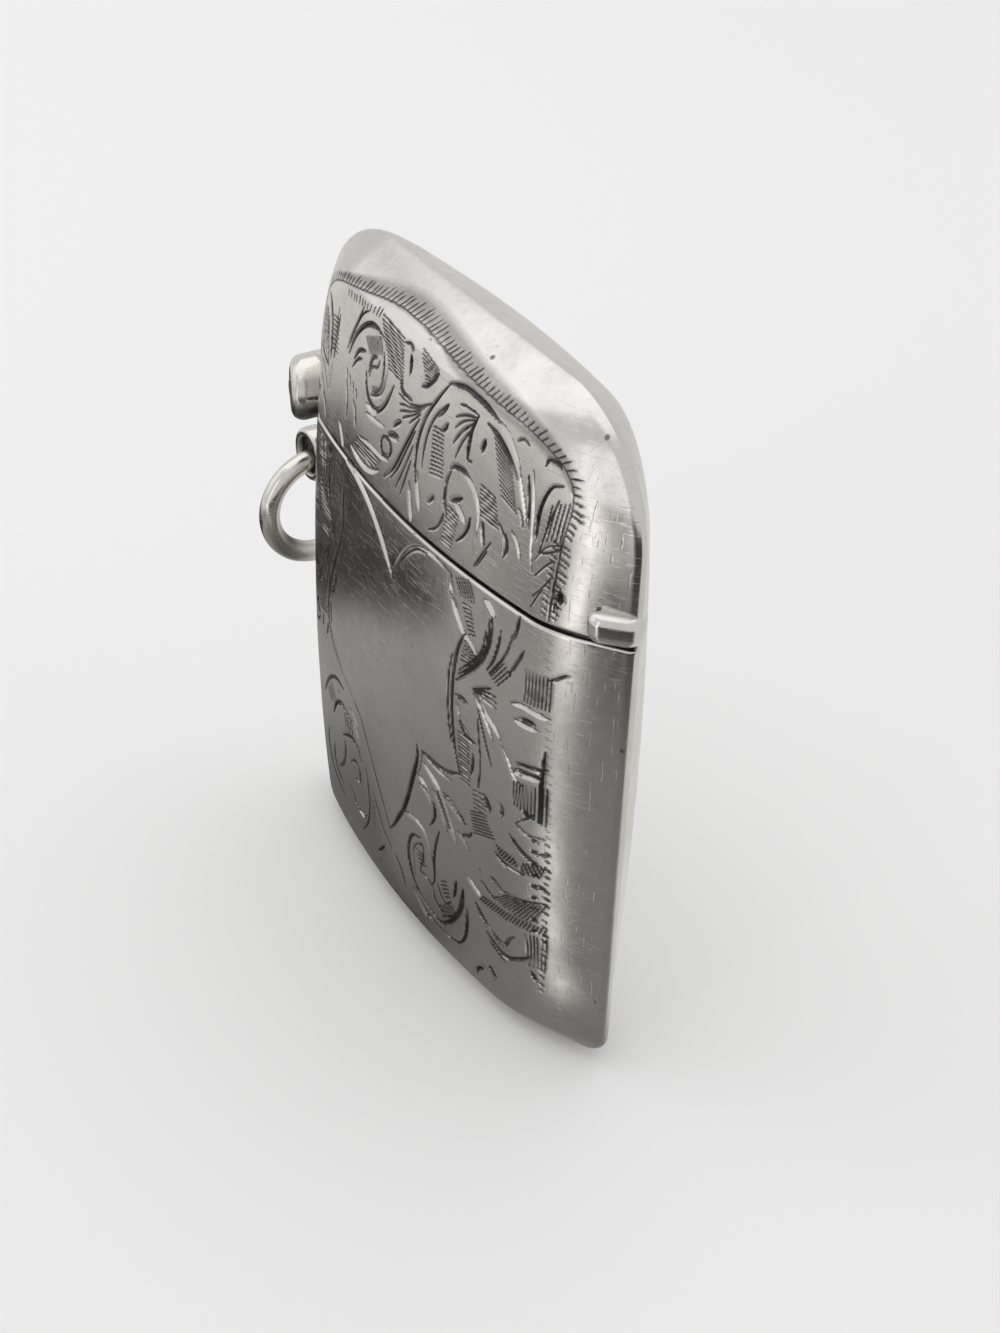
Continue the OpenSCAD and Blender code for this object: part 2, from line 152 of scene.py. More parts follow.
def makePiece(name, points, quads=None, tris=None, sharpAngle=40.0, attributes=None):
    # a mesh in metres from points in millimetres, smooth but for edges sharper than the angle
    mesh = bpy.data.meshes.new(name)
    corners = [a for a in (quads, tris) if a is not None and len(a)]
    loops = np.concatenate([a.ravel() for a in corners]).astype(np.int32)
    sizes = np.concatenate([np.full(len(a), a.shape[1]) for a in corners]).astype(np.int32)
    mesh.vertices.add(len(points))
    mesh.vertices.foreach_set("co", (np.asarray(points) * mm).astype(np.float32).ravel())
    mesh.loops.add(len(loops))
    mesh.loops.foreach_set("vertex_index", loops)
    mesh.polygons.add(len(sizes))
    mesh.polygons.foreach_set("loop_start", np.concatenate([[0], np.cumsum(sizes)[:-1]]).astype(np.int32))
    mesh.polygons.foreach_set("loop_total", sizes)
    mesh.update(calc_edges=True)
    mesh.validate()
    mesh.polygons.foreach_set("use_smooth", np.ones(len(mesh.polygons), bool))
    for key, values in (attributes or {}).items():
        mesh.attributes.new(key, "FLOAT", "POINT").data.foreach_set("value", values.astype(np.float32).ravel())
    mesh.set_sharp_from_angle(angle=math.radians(sharpAngle))
    piece = bpy.data.objects.new(name, mesh)
    bpy.context.scene.collection.objects.link(piece)
    return piece


# Engraving. Each cut is a tone, a width and a line of points on the face (x, z), in millimetres.
# Tone d is a cut whose broad flank turns away from the light, b one whose flank faces it and holds tarnish on one
# side only, n even, w worn shallow, h hatching, g colour alone with no cut (soft bands of painted shade along the
# lid's shoulder and right border, and ticks worn away to tarnish), s painted shade in the gap along the seam.
# A shade row is a hatch: from, to of the line of starts, from, to of the line of ends, and the count.

graver = dict(
    widen=dict(d=1.25, b=1.1, n=1.15, h=1.0, g=1.0, w=1.25, s=1.0),  # width of each tone, times what its row says
    depth=dict(d=0.42, b=0.42, n=0.42, h=0.42, g=0, w=0.12, s=0),    # depth of a cut for its width
    dark=dict(d=1.4, b=0.85, n=1.2, h=1.25, g=0.5, w=1.1, s=1.0),    # tarnish in it, and painted shade in the g bands and the s line
    narrow=dict(d=0.85, b=0.5, n=1.0, h=1.0, g=1.0, w=1.0, s=1.0),   # share of the width that holds tarnish
    turn=dict(d=-1, b=1, n=0, h=0, g=0, w=0, s=0),                   # side of the light that its bottom moves to
    lean=0.55, leanGain=1.6,                      # how far the bottom moves, and how soon as the cut turns
    halo=0.26, haloPoints=11, haloGain=1.7,       # tarnish left between close cuts
    least=(0.085, 0.07), coreEdge=1.5,            # least half width of tarnish in a cut, and in a hatched patch
    endGain=3.2, endLeast=0.3, endPower=0.8,      # pointed ends, as a graver leaves
    lightFrom=(0.55, 0.83), stepsPerSpan=5, hatchWidth=0.15, hatchMore=1.15)

lidCuts = [
    ("d", .30, [(-8.9, 38.6), (-8.2, 40), (-7.2, 41.1), (-6.2, 41.75), (-5.3, 41.95), (-4.5, 41.8)]),
    ("b", .26, [(-4.5, 41.8), (-3.95, 41.3), (-3.62, 40.3), (-3.7, 39.1), (-4.1, 38.3), (-4.7, 37.8), (-5.3, 37.6)]),
    ("d", .20, [(-4.05, 40.9), (-3.92, 40), (-4, 39.1), (-4.3, 38.4), (-4.9, 37.95)]),
    ("d", .28, [(-2.55, 39.5), (-3, 38.6), (-3.5, 37.8), (-4.2, 37.15), (-5, 37.05), (-5.6, 37.3), (-6, 37.9),
                (-6.15, 38.7)]),
    ("n", .24, [(-7.4, 42.2), (-7.9, 41.2), (-8.6, 40), (-9.2, 38.8)]),
    ("n", .16, [(-6.6, 42.4), (-7.4, 41.8), (-8.1, 40.8)]),
    ("d", .22, [(-6.5, 39.9), (-7.4, 39.5), (-8.1, 38.6)]),
    ("d", .18, [(-6.9, 39.2), (-7.6, 38.8), (-8.2, 38.1)]),
    ("d", .26, [(-4.9, 40.25), (-5.4, 40), (-5.7, 39.4), (-5.9, 38.8)]),
    ("n", .20, [(-4.5, 40.2), (-4.8, 39.6), (-5.5, 39.3), (-5.75, 38.6)]),
    ("b", .34, [(-5.8, 36.8), (-5.1, 36.72), (-4.4, 36.95)]),
    ("b", .26, [(-5.7, 36.25), (-4.4, 36.35), (-3.3, 36.55)]),
    ("d", .26, [(-1.35, 37.85), (-1.8, 37.5), (-2.2, 37.1)]),
    ("d", .24, [(-1.5, 36.75), (-2.1, 36.65), (-2.7, 36.4)]),
    ("b", .20, [(-1.5, 36.5), (-2.1, 36.35), (-2.8, 36.15)]),
    ("d", .24, [(-3.35, 35.9), (-2.6, 36.05), (-2.25, 35.5), (-2.6, 34.9), (-3.25, 34.85), (-3.5, 35.4), (-3.3, 35.9)]),
    ("b", .32, [(-7.6, 33.1), (-6.6, 32.8), (-5.5, 32.72), (-4.5, 32.98), (-3.6, 33.5)]),
    ("b", .22, [(-6.4, 34.3), (-5, 34.5), (-3.6, 34.5), (-2.4, 34.75)]),
    ("b", .30, [(-9.7, 33.7), (-9.2, 33), (-8.85, 32.3)]),
    ("n", .20, [(-7.7, 36.1), (-7.3, 35.5), (-7.2, 34.7)]),
    ("n", .18, [(-8.9, 36.8), (-8.6, 35.6), (-8.7, 34.4)]),
    ("d", .22, [(-1.8, 42.65), (-1.3, 42.8), (-.75, 42.65)]),
    ("d", .28, [(-.95, 42.2), (-.85, 41.7), (-.9, 41)]),
    ("d", .26, [(-1.8, 40.25), (-1.6, 39.8), (-1.1, 39.6), (-.4, 39.65)]),
    ("d", .30, [(2.05, 42.4), (1.6, 41.8), (1.1, 41.3), (.5, 40.95)]),
    ("n", .17, [(1.7, 40.4), (.6, 39.7), (-.6, 39.3), (-1.9, 39.35)]),
    ("n", .17, [(1.2, 40), (0, 39.3), (-1.7, 38.8)]),
    ("n", .17, [(1, 39.8), (-.2, 39), (-1.6, 38.4)]),
    ("n", .16, [(.8, 39.6), (0, 38.9), (-1.2, 38.15)]),
    ("n", .16, [(.7, 39.3), (.2, 38.8), (-.4, 38.2)]),
    ("d", .24, [(.6, 38.9), (0, 37.9), (-.8, 36.4), (-1.8, 34.6), (-2.9, 33.4)]),
    ("d", .20, [(.3, 38), (-.4, 36.6), (-1.2, 35), (-2, 33.8)]),
    ("n", .18, [(.2, 37), (-.3, 35.8), (-.9, 34.5), (-1.4, 33.5)]),
    ("n", .18, [(.1, 36), (-.3, 34.8), (-.8, 33.4)]),
    ("d", .24, [(3.15, 42.2), (2.2, 40.9), (1.3, 39.4), (.7, 37.6), (.62, 36), (.85, 35)]),
    ("b", .34, [(.85, 35.7), (1.05, 34.6), (1.45, 33.5)]),
    ("n", .20, [(3.3, 41.1), (2.4, 40.1), (1.75, 38.9), (1.38, 37.5), (1.3, 36.2)]),
    ("b", .34, [(.1, 34.6), (.35, 33.4), (.7, 32.2)]),
    ("d", .34, [(3.1, 42.25), (3.6, 42.55), (4.6, 42.8), (5.6, 42.75), (6.8, 42.55), (7.9, 42.15)]),
    ("b", .36, [(7.9, 42.15), (8.7, 41.75), (9.4, 41), (10, 40.1)]),
    ("b", .28, [(10, 40.1), (10.3, 39.2), (10.65, 38.3), (10.95, 37.4)]),
    ("d", .30, [(7, 41.65), (7.8, 41.4), (8.5, 41), (9.2, 40.4), (9.9, 39.6)]),
    ("n", .18, [(4.4, 41.62), (5.2, 41.75), (6.1, 41.7)]),
    ("n", .20, [(4.15, 40.75), (5, 41.2), (6, 41.5)]),
    ("n", .16, [(4.2, 40.1), (4.9, 40.8), (5.8, 41.3)]),
    ("n", .20, [(4.15, 39.1), (4.8, 40.1), (5.7, 41)]),
    ("n", .18, [(4.5, 38.4), (4.95, 39.5), (5.7, 40.7)]),
    ("d", .26, [(6.15, 41.7), (5.75, 40.8), (5.65, 40), (5.6, 39.2), (5.65, 38.8), (6, 38.85)]),
    ("d", .32, [(6.98, 40.6), (6.88, 40.2), (6.75, 39.75)]),
    ("d", .30, [(3.5, 40), (3.25, 39.6), (2.9, 39.3)]),
    ("d", .24, [(3.35, 41.1), (2.95, 40.5), (2.5, 40)]),
    ("d", .32, [(4.15, 37.5), (4.6, 37.9), (5.3, 38), (5.9, 37.85)]),
    ("b", .30, [(5.2, 37.9), (6, 37.65), (6.6, 37.2), (7, 36.4), (7.1, 35.4), (7, 34.5)]),
    ("d", .24, [(4.3, 37.45), (3.98, 36.7), (3.9, 35.9), (3.95, 35.2), (4.25, 34.5)]),
    ("d", .34, [(5.5, 36.28), (5, 36), (4.45, 35.65)]),
    ("b", .36, [(4.95, 35.7), (5.5, 35.35), (5.95, 35)]),
    ("d", .26, [(6.42, 35.45), (6.3, 34.8), (6, 34.2), (5.35, 33.45)]),
    ("d", .24, [(3.95, 34.5), (3.7, 33.9), (3.3, 33.3), (2.55, 32.8)]),
    ("d", .30, [(2.8, 35.05), (2.45, 34.65), (2.15, 34.4)]),
    ("b", .22, [(7.4, 35.75), (7.5, 35), (7.75, 34.3)]),
    ("d", .20, [(7.58, 35.75), (7.68, 35.1), (7.85, 34.5)]),
    ("n", .18, [(8.4, 34.9), (7.9, 34.1), (7.5, 33.4), (7.15, 32.75)]),
    ("n", .16, [(8.15, 34.2), (7.75, 33.5), (7.4, 32.9)]),
    ("d", .26, [(9.5, 36), (9.72, 35.3), (9.6, 34.6)]),
    ("b", .20, [(9.3, 36), (9.5, 35.3), (9.45, 34.5)]),
    ("n", .20, [(8.9, 36.4), (9.3, 35.9)]),
    ("b", .22, [(10, 36.4), (10.5, 35.9), (10.85, 35)]),
    ("n", .20, [(10.3, 38), (10.6, 37.6), (10.75, 37)]),
    ("n", .22, [(9.55, 41.75), (10, 42), (10.45, 41.85)]),
    ("d", .28, [(11.8, 41.25), (12, 41.7), (12.5, 41.75), (12.8, 41.55)])]

lidLeaf = [  # the leaf in the right corner, repeated in the left one
    ("b", .24, [(11, 40.6), (11.3, 39.2), (11.5, 37.5), (11.6, 36), (11.85, 34.8)]),
    ("d", .18, [(10.75, 40.2), (11.05, 38.8), (11.25, 37.2)]),
    ("d", .26, [(11.9, 36.8), (11.9, 38.3), (12.1, 39.4), (12.5, 40.3), (13.1, 40.6)]),
    ("n", .18, [(12.25, 36.3), (12.45, 37.4), (12.75, 38.6), (13.05, 39.7)]),
    ("b", .18, [(11.95, 35.6), (12.6, 36.6), (13.6, 37.2)]),
    ("d", .18, [(12.2, 36.2), (12.9, 36.5), (13.6, 37)]),
    ("n", .16, [(12.15, 34.7), (12.7, 35.5), (13.25, 36.1)]),
    ("n", .16, [(12.15, 33.4), (12.8, 34.3), (13.25, 35.1)]),
    ("n", .16, [(12.1, 32.7), (12.5, 33.6), (12.8, 34.1)]),
    ("d", .34, [(13.85, 34.4), (13.95, 34), (13.95, 33.6)]),
    ("b", .26, [(13.5, 34.2), (13.6, 33.5), (13.7, 32.8)])]

lidShade = [
    ((-6.6, 40.8), (-4.7, 41.65), (-5.9, 40), (-4.25, 40.7), 9),
    ((-4.9, 42.95), (-3.4, 40.3), (-1.95, 42.75), (-1.5, 40.15), 12),
    ((0, 43), (.9, 41.3), (2.05, 42.6), (1.35, 41.5), 8),
    ((-6.9, 34), (-7, 33.4), (-3.4, 34.15), (-4.2, 33.3), 4),
    ((2.1, 39.2), (2.2, 36.3), (3.2, 39.35), (3.5, 36.6), 11),
    ((7, 37.9), (7.1, 36.1), (8.4, 37.7), (8.9, 36), 7),
    ((7.7, 41.1), (8.8, 38.1), (9.3, 40.2), (10.2, 37.6), 11),
    ((4.2, 35.2), (3.95, 32.8), (5.4, 35), (4.9, 32.8), 9),
    ((12.7, 39.3), (13.7, 39.8), (12.4, 37), (13.5, 37.4), 5),
    ((-12.7, 39.3), (-13.7, 39.8), (-12.4, 37), (-13.5, 37.4), 5),
    ((-5.1, 38.3), (-4.4, 38.5), (-5.2, 37.8), (-4.6, 37.9), 4),
    ((-9, 37.6), (-7.4, 37), (-8.8, 36.9), (-7.3, 36.4), 4),
    ((-11.9, 39.7), (-11.9, 37.6), (-10.8, 39.8), (-10.7, 37.7), 7)]

bodyCuts = [
    ("b", .40, [(-8.2, 31.72), (-6.4, 31.5), (-4.6, 30.75), (-3, 29.55), (-1.9, 28.4), (-1.15, 27.5)]),
    ("b", .22, [(-1.15, 27.75), (-.7, 28.6), (-.1, 29.6), (.7, 30.5), (1.7, 31.1), (3, 31.35), (4.9, 31.2)]),
    ("n", .20, [(-.75, 28.2), (-.2, 29.1), (.5, 30), (1.5, 30.85), (2.6, 31.15)]),
    ("b", .30, [(5, 31.25), (5.15, 30.4), (5.6, 29.6), (6.2, 28.6), (6.75, 27.95)]),
    ("b", .40, [(5.2, 29.9), (5.9, 28.9), (6.6, 28.1), (7.4, 27.6), (8.25, 27.1)]),
    ("n", .40, [(6.75, 27.9), (6.3, 26.9), (6, 25.6), (5.85, 24.2), (5.85, 22.6), (6, 21), (6.3, 19.4), (6.9, 17.8)]),
    ("n", .22, [(5.75, 26), (5.5, 24.6), (5.45, 23), (5.6, 21.3), (5.95, 19.8)]),
    ("d", .28, [(6.7, 17.8), (5.8, 17.3), (4.8, 17.05), (3.8, 17), (2.8, 17)]),
    ("b", .24, [(6, 16.75), (4.9, 16.58), (3.9, 16.65), (2.85, 16.8)]),
    ("d", .40, [(2.25, 17), (2.3, 16.4), (2.1, 15.5), (1.65, 14.1), (1, 12.2), (.3, 10.6), (-.4, 9.5), (-1.2, 8.2),
                (-1.9, 7.3)]),
    ("b", .24, [(2.8, 16.7), (2.55, 15.7), (2.25, 14.8)]),
    ("n", .26, [(-1.9, 7.3), (-2.6, 8.6), (-3.4, 10), (-4.5, 12), (-5.6, 14)]),
    ("n", .30, [(-5.6, 14), (-7.2, 14.9), (-8.8, 15.8), (-10.4, 17.2), (-11.2, 19)]),
    ("n", .30, [(-11.2, 19), (-10.6, 21.3), (-9.7, 23.6), (-8.9, 25.2), (-8.4, 27), (-8.45, 29), (-8.3, 31.5)]),
    # the leaf and scroll under the cartouche
    ("b", .54, [(2.8, 16.1), (3.6, 15.75), (4.3, 15.4), (4.9, 14.75), (5.5, 13.8), (6, 12.9), (6.45, 12.05)]),
    ("d", .22, [(4.5, 14.9), (5.2, 13.8), (5.8, 12.8)]),
    ("b", .30, [(4, 14.7), (4.6, 14), (5.1, 13.2), (5.5, 12.4)]),
    ("b", .56, [(2.3, 14.65), (3, 14.35), (3.95, 13.5)]),
    ("b", .26, [(2.4, 14.15), (3.2, 13.9), (3.9, 13.35)]),
    ("d", .26, [(4.1, 13.75), (4.25, 12.9), (4, 12.2), (3.6, 11.55)]),
    ("d", .26, [(4.7, 11.8), (4.4, 11), (4.1, 10), (3.9, 8.8), (3.85, 7.8), (3.8, 7), (3.5, 6.45)]),
    ("d", .26, [(5.25, 15.3), (6, 15.2), (6.6, 14.85), (7.5, 14.4)]),
    ("b", .22, [(5.2, 15), (6.2, 14.6), (7.4, 14.2)]),
    ("d", .28, [(8.1, 14.05), (7.8, 13.6), (7.1, 13.25)]),
    ("b", .24, [(6.6, 13.2), (7.2, 12.9), (7.9, 12.4)]),
    ("d", .28, [(2.3, 9.6), (1.4, 9.2), (.9, 8.4), (.65, 7.3), (.75, 6.2), (1.1, 5.2), (1.55, 4.5)]),
    ("b", .22, [(2.5, 9), (1.75, 8.6), (1.25, 7.8), (1.2, 6.9), (1.35, 5.8)]),
    ("b", .40, [(.1, 10.2), (.9, 10.5), (1.9, 10.7), (2.7, 10.5), (3.2, 9.9), (3.6, 8.9)]),
    ("n", .20, [(2.1, 6.6), (2.9, 6.55), (3.6, 6.2)]),
    ("d", .46, [(7.05, 8.6), (6.9, 7.6), (6.55, 6.5), (6, 5.5), (5.3, 4.6), (4.6, 4), (4.1, 3.7)]),
    ("d", .30, [(7.4, 7.2), (7.35, 6.2), (7.2, 5.2), (6.9, 4.3), (6.4, 3.6), (6.05, 3.3)]),
    ("d", .28, [(6.35, 8.8), (6.2, 8), (6.05, 7.2)]),
    ("b", .40, [(.9, 4.2), (1.6, 3.55), (2.5, 2.75)]),
    ("n", .26, [(1.3, 5), (2, 4.3), (3, 3.9), (4, 3.7), (4.9, 3.9)]),
    ("n", .22, [(1.3, 3.9), (2.6, 3.2), (4.2, 3.1), (5.5, 3.2), (6.5, 3.6)]),
    ("n", .24, [(3.6, 6), (3.8, 5.2), (4.5, 4.8), (5.2, 4.9), (6, 5.8)]),
    ("n", .18, [(4.2, 7), (4.5, 6.2), (5, 5.9), (5.7, 6.6)]),
    ("n", .20, [(1.9, 8.8), (2.5, 9.1), (2.6, 8.3), (2.1, 6.7)]),
    ("d", .26, [(9.4, 17.8), (9.8, 17.2), (9.9, 16.7)]),
    ("d", .26, [(13.1, 5.9), (13.4, 5.2)]),
    ("d", .30, [(8.1, 2.2), (8.3, 2.8), (8.75, 3.1)]),
    ("b", .26, [(8.7, 3.45), (9.3, 3.1), (9.9, 2.9)]),
    ("d", .28, [(9.5, 3.9), (9.85, 3.5), (10.1, 3.4)]),
    ("d", .30, [(11.6, 16.3), (12.2, 15.7), (12.8, 15.25), (13.45, 14.9)]),
    ("d", .36, [(8.4, 8.5), (9, 7.8), (9.9, 7.15), (10.8, 6.85), (11.2, 7.1), (11.5, 7.7), (11.9, 8.15)]),
    ("d", .36, [(9.4, 6.75), (10.4, 6.15), (11.3, 6), (12.2, 6.45), (12.95, 7.1)]),
    ("n", .20, [(9.7, 6.1), (10.4, 5.7), (11, 5.45)]),
    ("d", .32, [(9.95, 11.8), (10.6, 11.5), (11.15, 11.2)]),
    ("n", .18, [(11.1, 11.4), (12.5, 11.55), (14, 12.05)]),
    ("n", .22, [(9, 10.8), (9.7, 10.35), (10.3, 10.2)]),
    ("b", .50, [(7.5, 10.1), (8.2, 9.7), (8.95, 9.3)]),
    ("d", .26, [(10.4, 14.05), (10.9, 13.78), (11.6, 13.7), (12.6, 13.7)]),
    ("b", .24, [(10.4, 13.85), (10.9, 13.6), (11.4, 13.4)]),
    ("d", .26, [(13.45, 13.3), (13.95, 13.2)]),
    # the scroll in the lower left corner
    ("n", .26, [(-12.6, 11.4), (-11.9, 12.6), (-11, 13.6), (-9.8, 14.3), (-8.4, 14.3)]),
    ("d", .34, [(-10.9, 10.7), (-10.2, 12), (-9.2, 12.7), (-8.2, 12.7), (-7.1, 12.2)]),
    ("d", .28, [(-9.1, 10.1), (-8.2, 10.7), (-7.2, 11.1), (-6.4, 10.8), (-5.9, 10)]),
    ("d", .30, [(-8.8, 9.8), (-8.9, 8.6), (-9.4, 7.4), (-10.4, 6.4)]),
    ("b", .30, [(-7.5, 13.4), (-6.8, 13.1), (-6.2, 12.6)]),
    ("b", .30, [(-7.3, 12.6), (-6.6, 12.2), (-6, 11.7)]),
    ("n", .26, [(-5.2, 10), (-5, 8.2), (-5.1, 6.6), (-5.6, 5), (-6.6, 3.6)]),
    ("d", .30, [(-8.4, 6.2), (-7.5, 5.3), (-6.3, 5.1), (-5.6, 5.7)]),
    ("d", .26, [(-7.8, 8.8), (-7, 9.3), (-6.3, 8.8), (-6.4, 8), (-7.1, 7.8)]),
    ("n", .24, [(-4.2, 8.6), (-3.5, 7.3), (-2.8, 6.2), (-1.9, 5.6)]),
    ("d", .30, [(-3, 4.9), (-3.5, 4.3), (-4.1, 3.7)]),
    ("n", .24, [(-1.4, 5.4), (-.7, 4.6), (-.2, 3.4)]),
    ("n", .24, [(-12.2, 8.6), (-12.6, 7), (-12.2, 5.4), (-11, 4.4), (-9.6, 4.2)]),
    ("d", .26, [(-11.2, 7.8), (-11.4, 6.6), (-10.9, 5.6), (-9.9, 5.2)])]

bodyField = [  # the field right of the cartouche, repeated narrower on the left
    ("d", .30, [(6.25, 24.45), (7.1, 25.4), (7.9, 26.3), (8.6, 27.4), (9, 28.5), (9.15, 29.5), (9.2, 30.4)]),
    ("d", .24, [(6.4, 24.95), (7.2, 25.75), (8.1, 26.85), (8.75, 28), (8.95, 29.2), (9, 30.2)]),
    ("n", .20, [(6.5, 25.3), (7.3, 26.15), (8, 27), (8.5, 28), (8.68, 29.2)]),
    ("d", .22, [(9, 26.7), (9.5, 27.7), (9.8, 28.8), (10, 30)]),
    ("n", .20, [(9.3, 26.6), (10, 27.7), (10.6, 29), (10.9, 30.2)]),
    ("d", .26, [(10.9, 27.5), (11.4, 28.5), (11.95, 29.65)]),
    ("d", .26, [(10.85, 29.6), (11.2, 30.6), (11.38, 31.6)]),
    ("b", .44, [(8.4, 31.15), (8.8, 31), (9.3, 30.5)]),
    ("d", .22, [(7.85, 24.75), (8.6, 25.2), (9.45, 25.7)]),
    ("n", .18, [(7.9, 24.7), (9, 25.15), (9.95, 25.35)]),
    ("n", .18, [(7.9, 24.65), (9, 24.9), (10, 24.95)]),
    ("b", .20, [(7.9, 24.6), (9, 24.55), (10.05, 24.55)]),
    ("b", .38, [(7.8, 24.65), (8.6, 24.1), (9.4, 23.5), (9.95, 23.15), (10.55, 22.6)]),
    ("b", .34, [(7.9, 24.45), (8.5, 23.85), (9.2, 23), (9.85, 22.2)]),
    ("n", .22, [(8.4, 23.6), (8.8, 22.6), (9.4, 21.2), (9.85, 20.3)]),
    ("n", .20, [(8.45, 22.9), (8.6, 21.5), (8.85, 20)]),
    ("b", .34, [(11.25, 25.7), (12.2, 25.98), (12.9, 25.9), (13.85, 25.85)]),
    ("d", .32, [(12, 25.12), (12.6, 25.18), (13.05, 25.12)]),
    ("b", .34, [(11.55, 24.75), (12.4, 24.72), (13.25, 24.76)]),
    ("d", .22, [(12, 22), (13, 22.08), (13.9, 22.3)]),
    ("b", .22, [(12, 21.74), (13, 21.8), (13.9, 21.98)]),
    ("d", .34, [(12, 21.46), (12.8, 21.5), (13.6, 21.56)]),
    ("b", .36, [(11.55, 21.05), (12.4, 21.15), (13.65, 21.3)]),
    ("b", .32, [(10.65, 22.25), (11.25, 21.5), (11.8, 20.65), (12.4, 20.3)]),
    ("d", .28, [(6.3, 23.42), (6.9, 23.5), (7.4, 23.42)]),
    ("b", .44, [(6.45, 22.85), (6.5, 22.4), (6.65, 21.9)]),
    ("d", .26, [(6.75, 21.75), (7.2, 21.2), (7.7, 21.02), (8.35, 21.05)]),
    ("b", .20, [(6.5, 22), (7.1, 21.55), (7.7, 21.3)]),
    ("d", .22, [(8.15, 20.1), (8.15, 19.3), (8.05, 18.5)]),
    ("d", .18, [(8.8, 20.2), (8.82, 19.2), (8.75, 18)]),
    ("d", .30, [(9.25, 17.85), (9.5, 17.3), (9.75, 16.85)]),
    ("d", .28, [(10.85, 18.05), (10.98, 17.6), (11, 17.1)]),
    ("d", .24, [(12.1, 17.5), (12.6, 18), (13.2, 18.6)]),
    ("d", .30, [(12.6, 18.75), (12.85, 18.4), (13.1, 18.35)]),
    ("n", .20, [(12, 17.4), (12.9, 16.9), (13.9, 17.1)]),
    ("d", .28, [(13.5, 15.65), (13.75, 15.85), (14.05, 15.9)]),
    ("d", .28, [(13.75, 28.55), (14.15, 28.85), (14.55, 29.2)])]

fieldShade = [
    ((5.6, 31.2), (6.8, 31.65), (6.2, 30.3), (7.5, 30.4), 6),
    ((6.4, 29.9), (7.2, 28.2), (7.2, 30), (7.8, 28.4), 7),
    ((6.85, 27.6), (6.6, 26.1), (7.9, 27), (7.5, 26.25), 6),
    ((9.2, 26.6), (10, 26.2), (10.2, 28.1), (11.1, 27.6), 5),
    ((11.8, 20.4), (13.95, 20.9), (11.9, 18.75), (13.9, 18.05), 9),
    ((6.6, 20.9), (6.95, 17.6), (7.7, 20.9), (7.95, 17.6), 13),
    ((8.2, 17.5), (8.3, 16.2), (9.2, 17.7), (9.6, 16.3), 5),
    ((8, 15.7), (8.3, 14.2), (9.3, 16.3), (10.3, 15), 7),
    ((12.2, 28.6), (13.8, 28.6), (12.3, 26.4), (13.8, 26.4), 7),
    ((-12.9, 28.2), (-12.9, 24.8), (-10, 28), (-10, 24.9), 11),
    ((-13.2, 31.4), (-13, 29.3), (-11.6, 31.2), (-11.4, 29.3), 8),
    ((-12.9, 21.5), (-12.7, 18.5), (-11.5, 21.3), (-11.4, 18.6), 9)]

bodyShade = [
    ((10.4, 14.75), (11.9, 14.6), (10.8, 14), (12.2, 14.05), 7),
    ((12.6, 14.6), (13.95, 15), (12.4, 13.7), (13.6, 13.9), 7),
    ((10.3, 10.3), (13, 10), (11.6, 11.4), (14, 11.85), 11),
    ((8.75, 9), (13.8, 9.35), (9.3, 9.7), (14.05, 10.05), 19),
    ((12.75, 8.9), (14.05, 9.2), (12.9, 6.3), (13.95, 6.5), 6),
    ((4.6, 7.6), (4.9, 6.4), (5.2, 7.9), (5.6, 6.9), 5),
    ((4.3, 5.3), (5.7, 6.3), (4.6, 4.2), (6.2, 5.6), 7),
    ((1.7, 8.2), (2.1, 7.3), (2.6, 8.3), (2.9, 7.5), 4),
    ((-8.6, 12.4), (-7.2, 11.9), (-8.4, 11.2), (-7.2, 11.3), 5),
    ((-11.9, 12.2), (-10.9, 13.2), (-11.2, 11.4), (-10.3, 12.3), 5),
    ((-5, 8), (-5.1, 6), (-4, 7.6), (-4.2, 5.6), 6)]

borders = dict(
    top=[(-14.1, 37.5), (-14, 39.2), (-13.6, 40.5), (-12.8, 41.4), (-11.7, 42), (-10.4, 42.45), (-8, 43),
         (-4.8, 43.55), (-1.6, 43.65), (1.6, 43.45), (3.8, 43.25), (7.8, 42.95), (10.2, 42.7), (11.8, 42.2), (13, 41.5),
         (13.7, 40.5), (13.85, 39.2), (13.65, 37.5)],
    right=[(13.65, 37.5), (13.5, 35.3), (13.4, 33.8), (13.35, 32.3)],
    bodyRight=[(13.3, 31.4), (13.35, 29), (13.6, 25), (13.8, 20), (13.8, 15), (13.7, 10), (13.4, 4.2)],
    # the seam line is painted shade in the gap under the lid's lip
    seamShade=[(-3, 31.84), (4, 31.82), (11, 31.82), (17.4, 31.82)],
    fadedAbove=17.0, sideX=14.15, pitch=0.42, sidePitch=0.6, tick=0.42, slant=0.18, width=0.15,
    shift=0.15, reach=(0.7, 1.15), steps=12)  # by hand, so a little uneven in place and length


def curve(points, steps):  # a smooth line through the points, by Catmull and Rom's cubic
    p = np.asarray(points, float)
    if len(p) == 2:
        return p
    q = np.vstack([2 * p[0] - p[1], p, 2 * p[-1] - p[-2]])
    t = np.linspace(0, 1, steps, endpoint=False)[None, :, None]
    a, b, c, d = (q[i:len(q) - 3 + i, None, :] for i in range(4))
    s = 0.5 * (2 * b + (c - a) * t + (2 * a - 5 * b + 4 * c - d) * t ** 2 + (3 * b - a - 3 * c + d) * t ** 3)
    return np.vstack([s.reshape(-1, 2), p[-1:]])


def hatch(rows):  # straight cuts between two lines of evenly spaced ends
    cuts = []
    for a, b, c, d, count in rows:
        t = np.linspace(0, 1, int(count * graver["hatchMore"]))[:, None]
        starts = np.array(a) * (1 - t) + np.array(b) * t
        ends = np.array(c) * (1 - t) + np.array(d) * t
        cuts += [("h", graver["hatchWidth"], [s, (s + e) / 2, e]) for s, e in zip(starts, ends)]
    return cuts


def movedAcross(cuts, fromX, toX, scale):  # the same cuts, mirrored to the left and made narrower
    return [(tone, width, [(toX - (x - fromX) * scale, z) for x, z in line]) for tone, width, line in cuts]


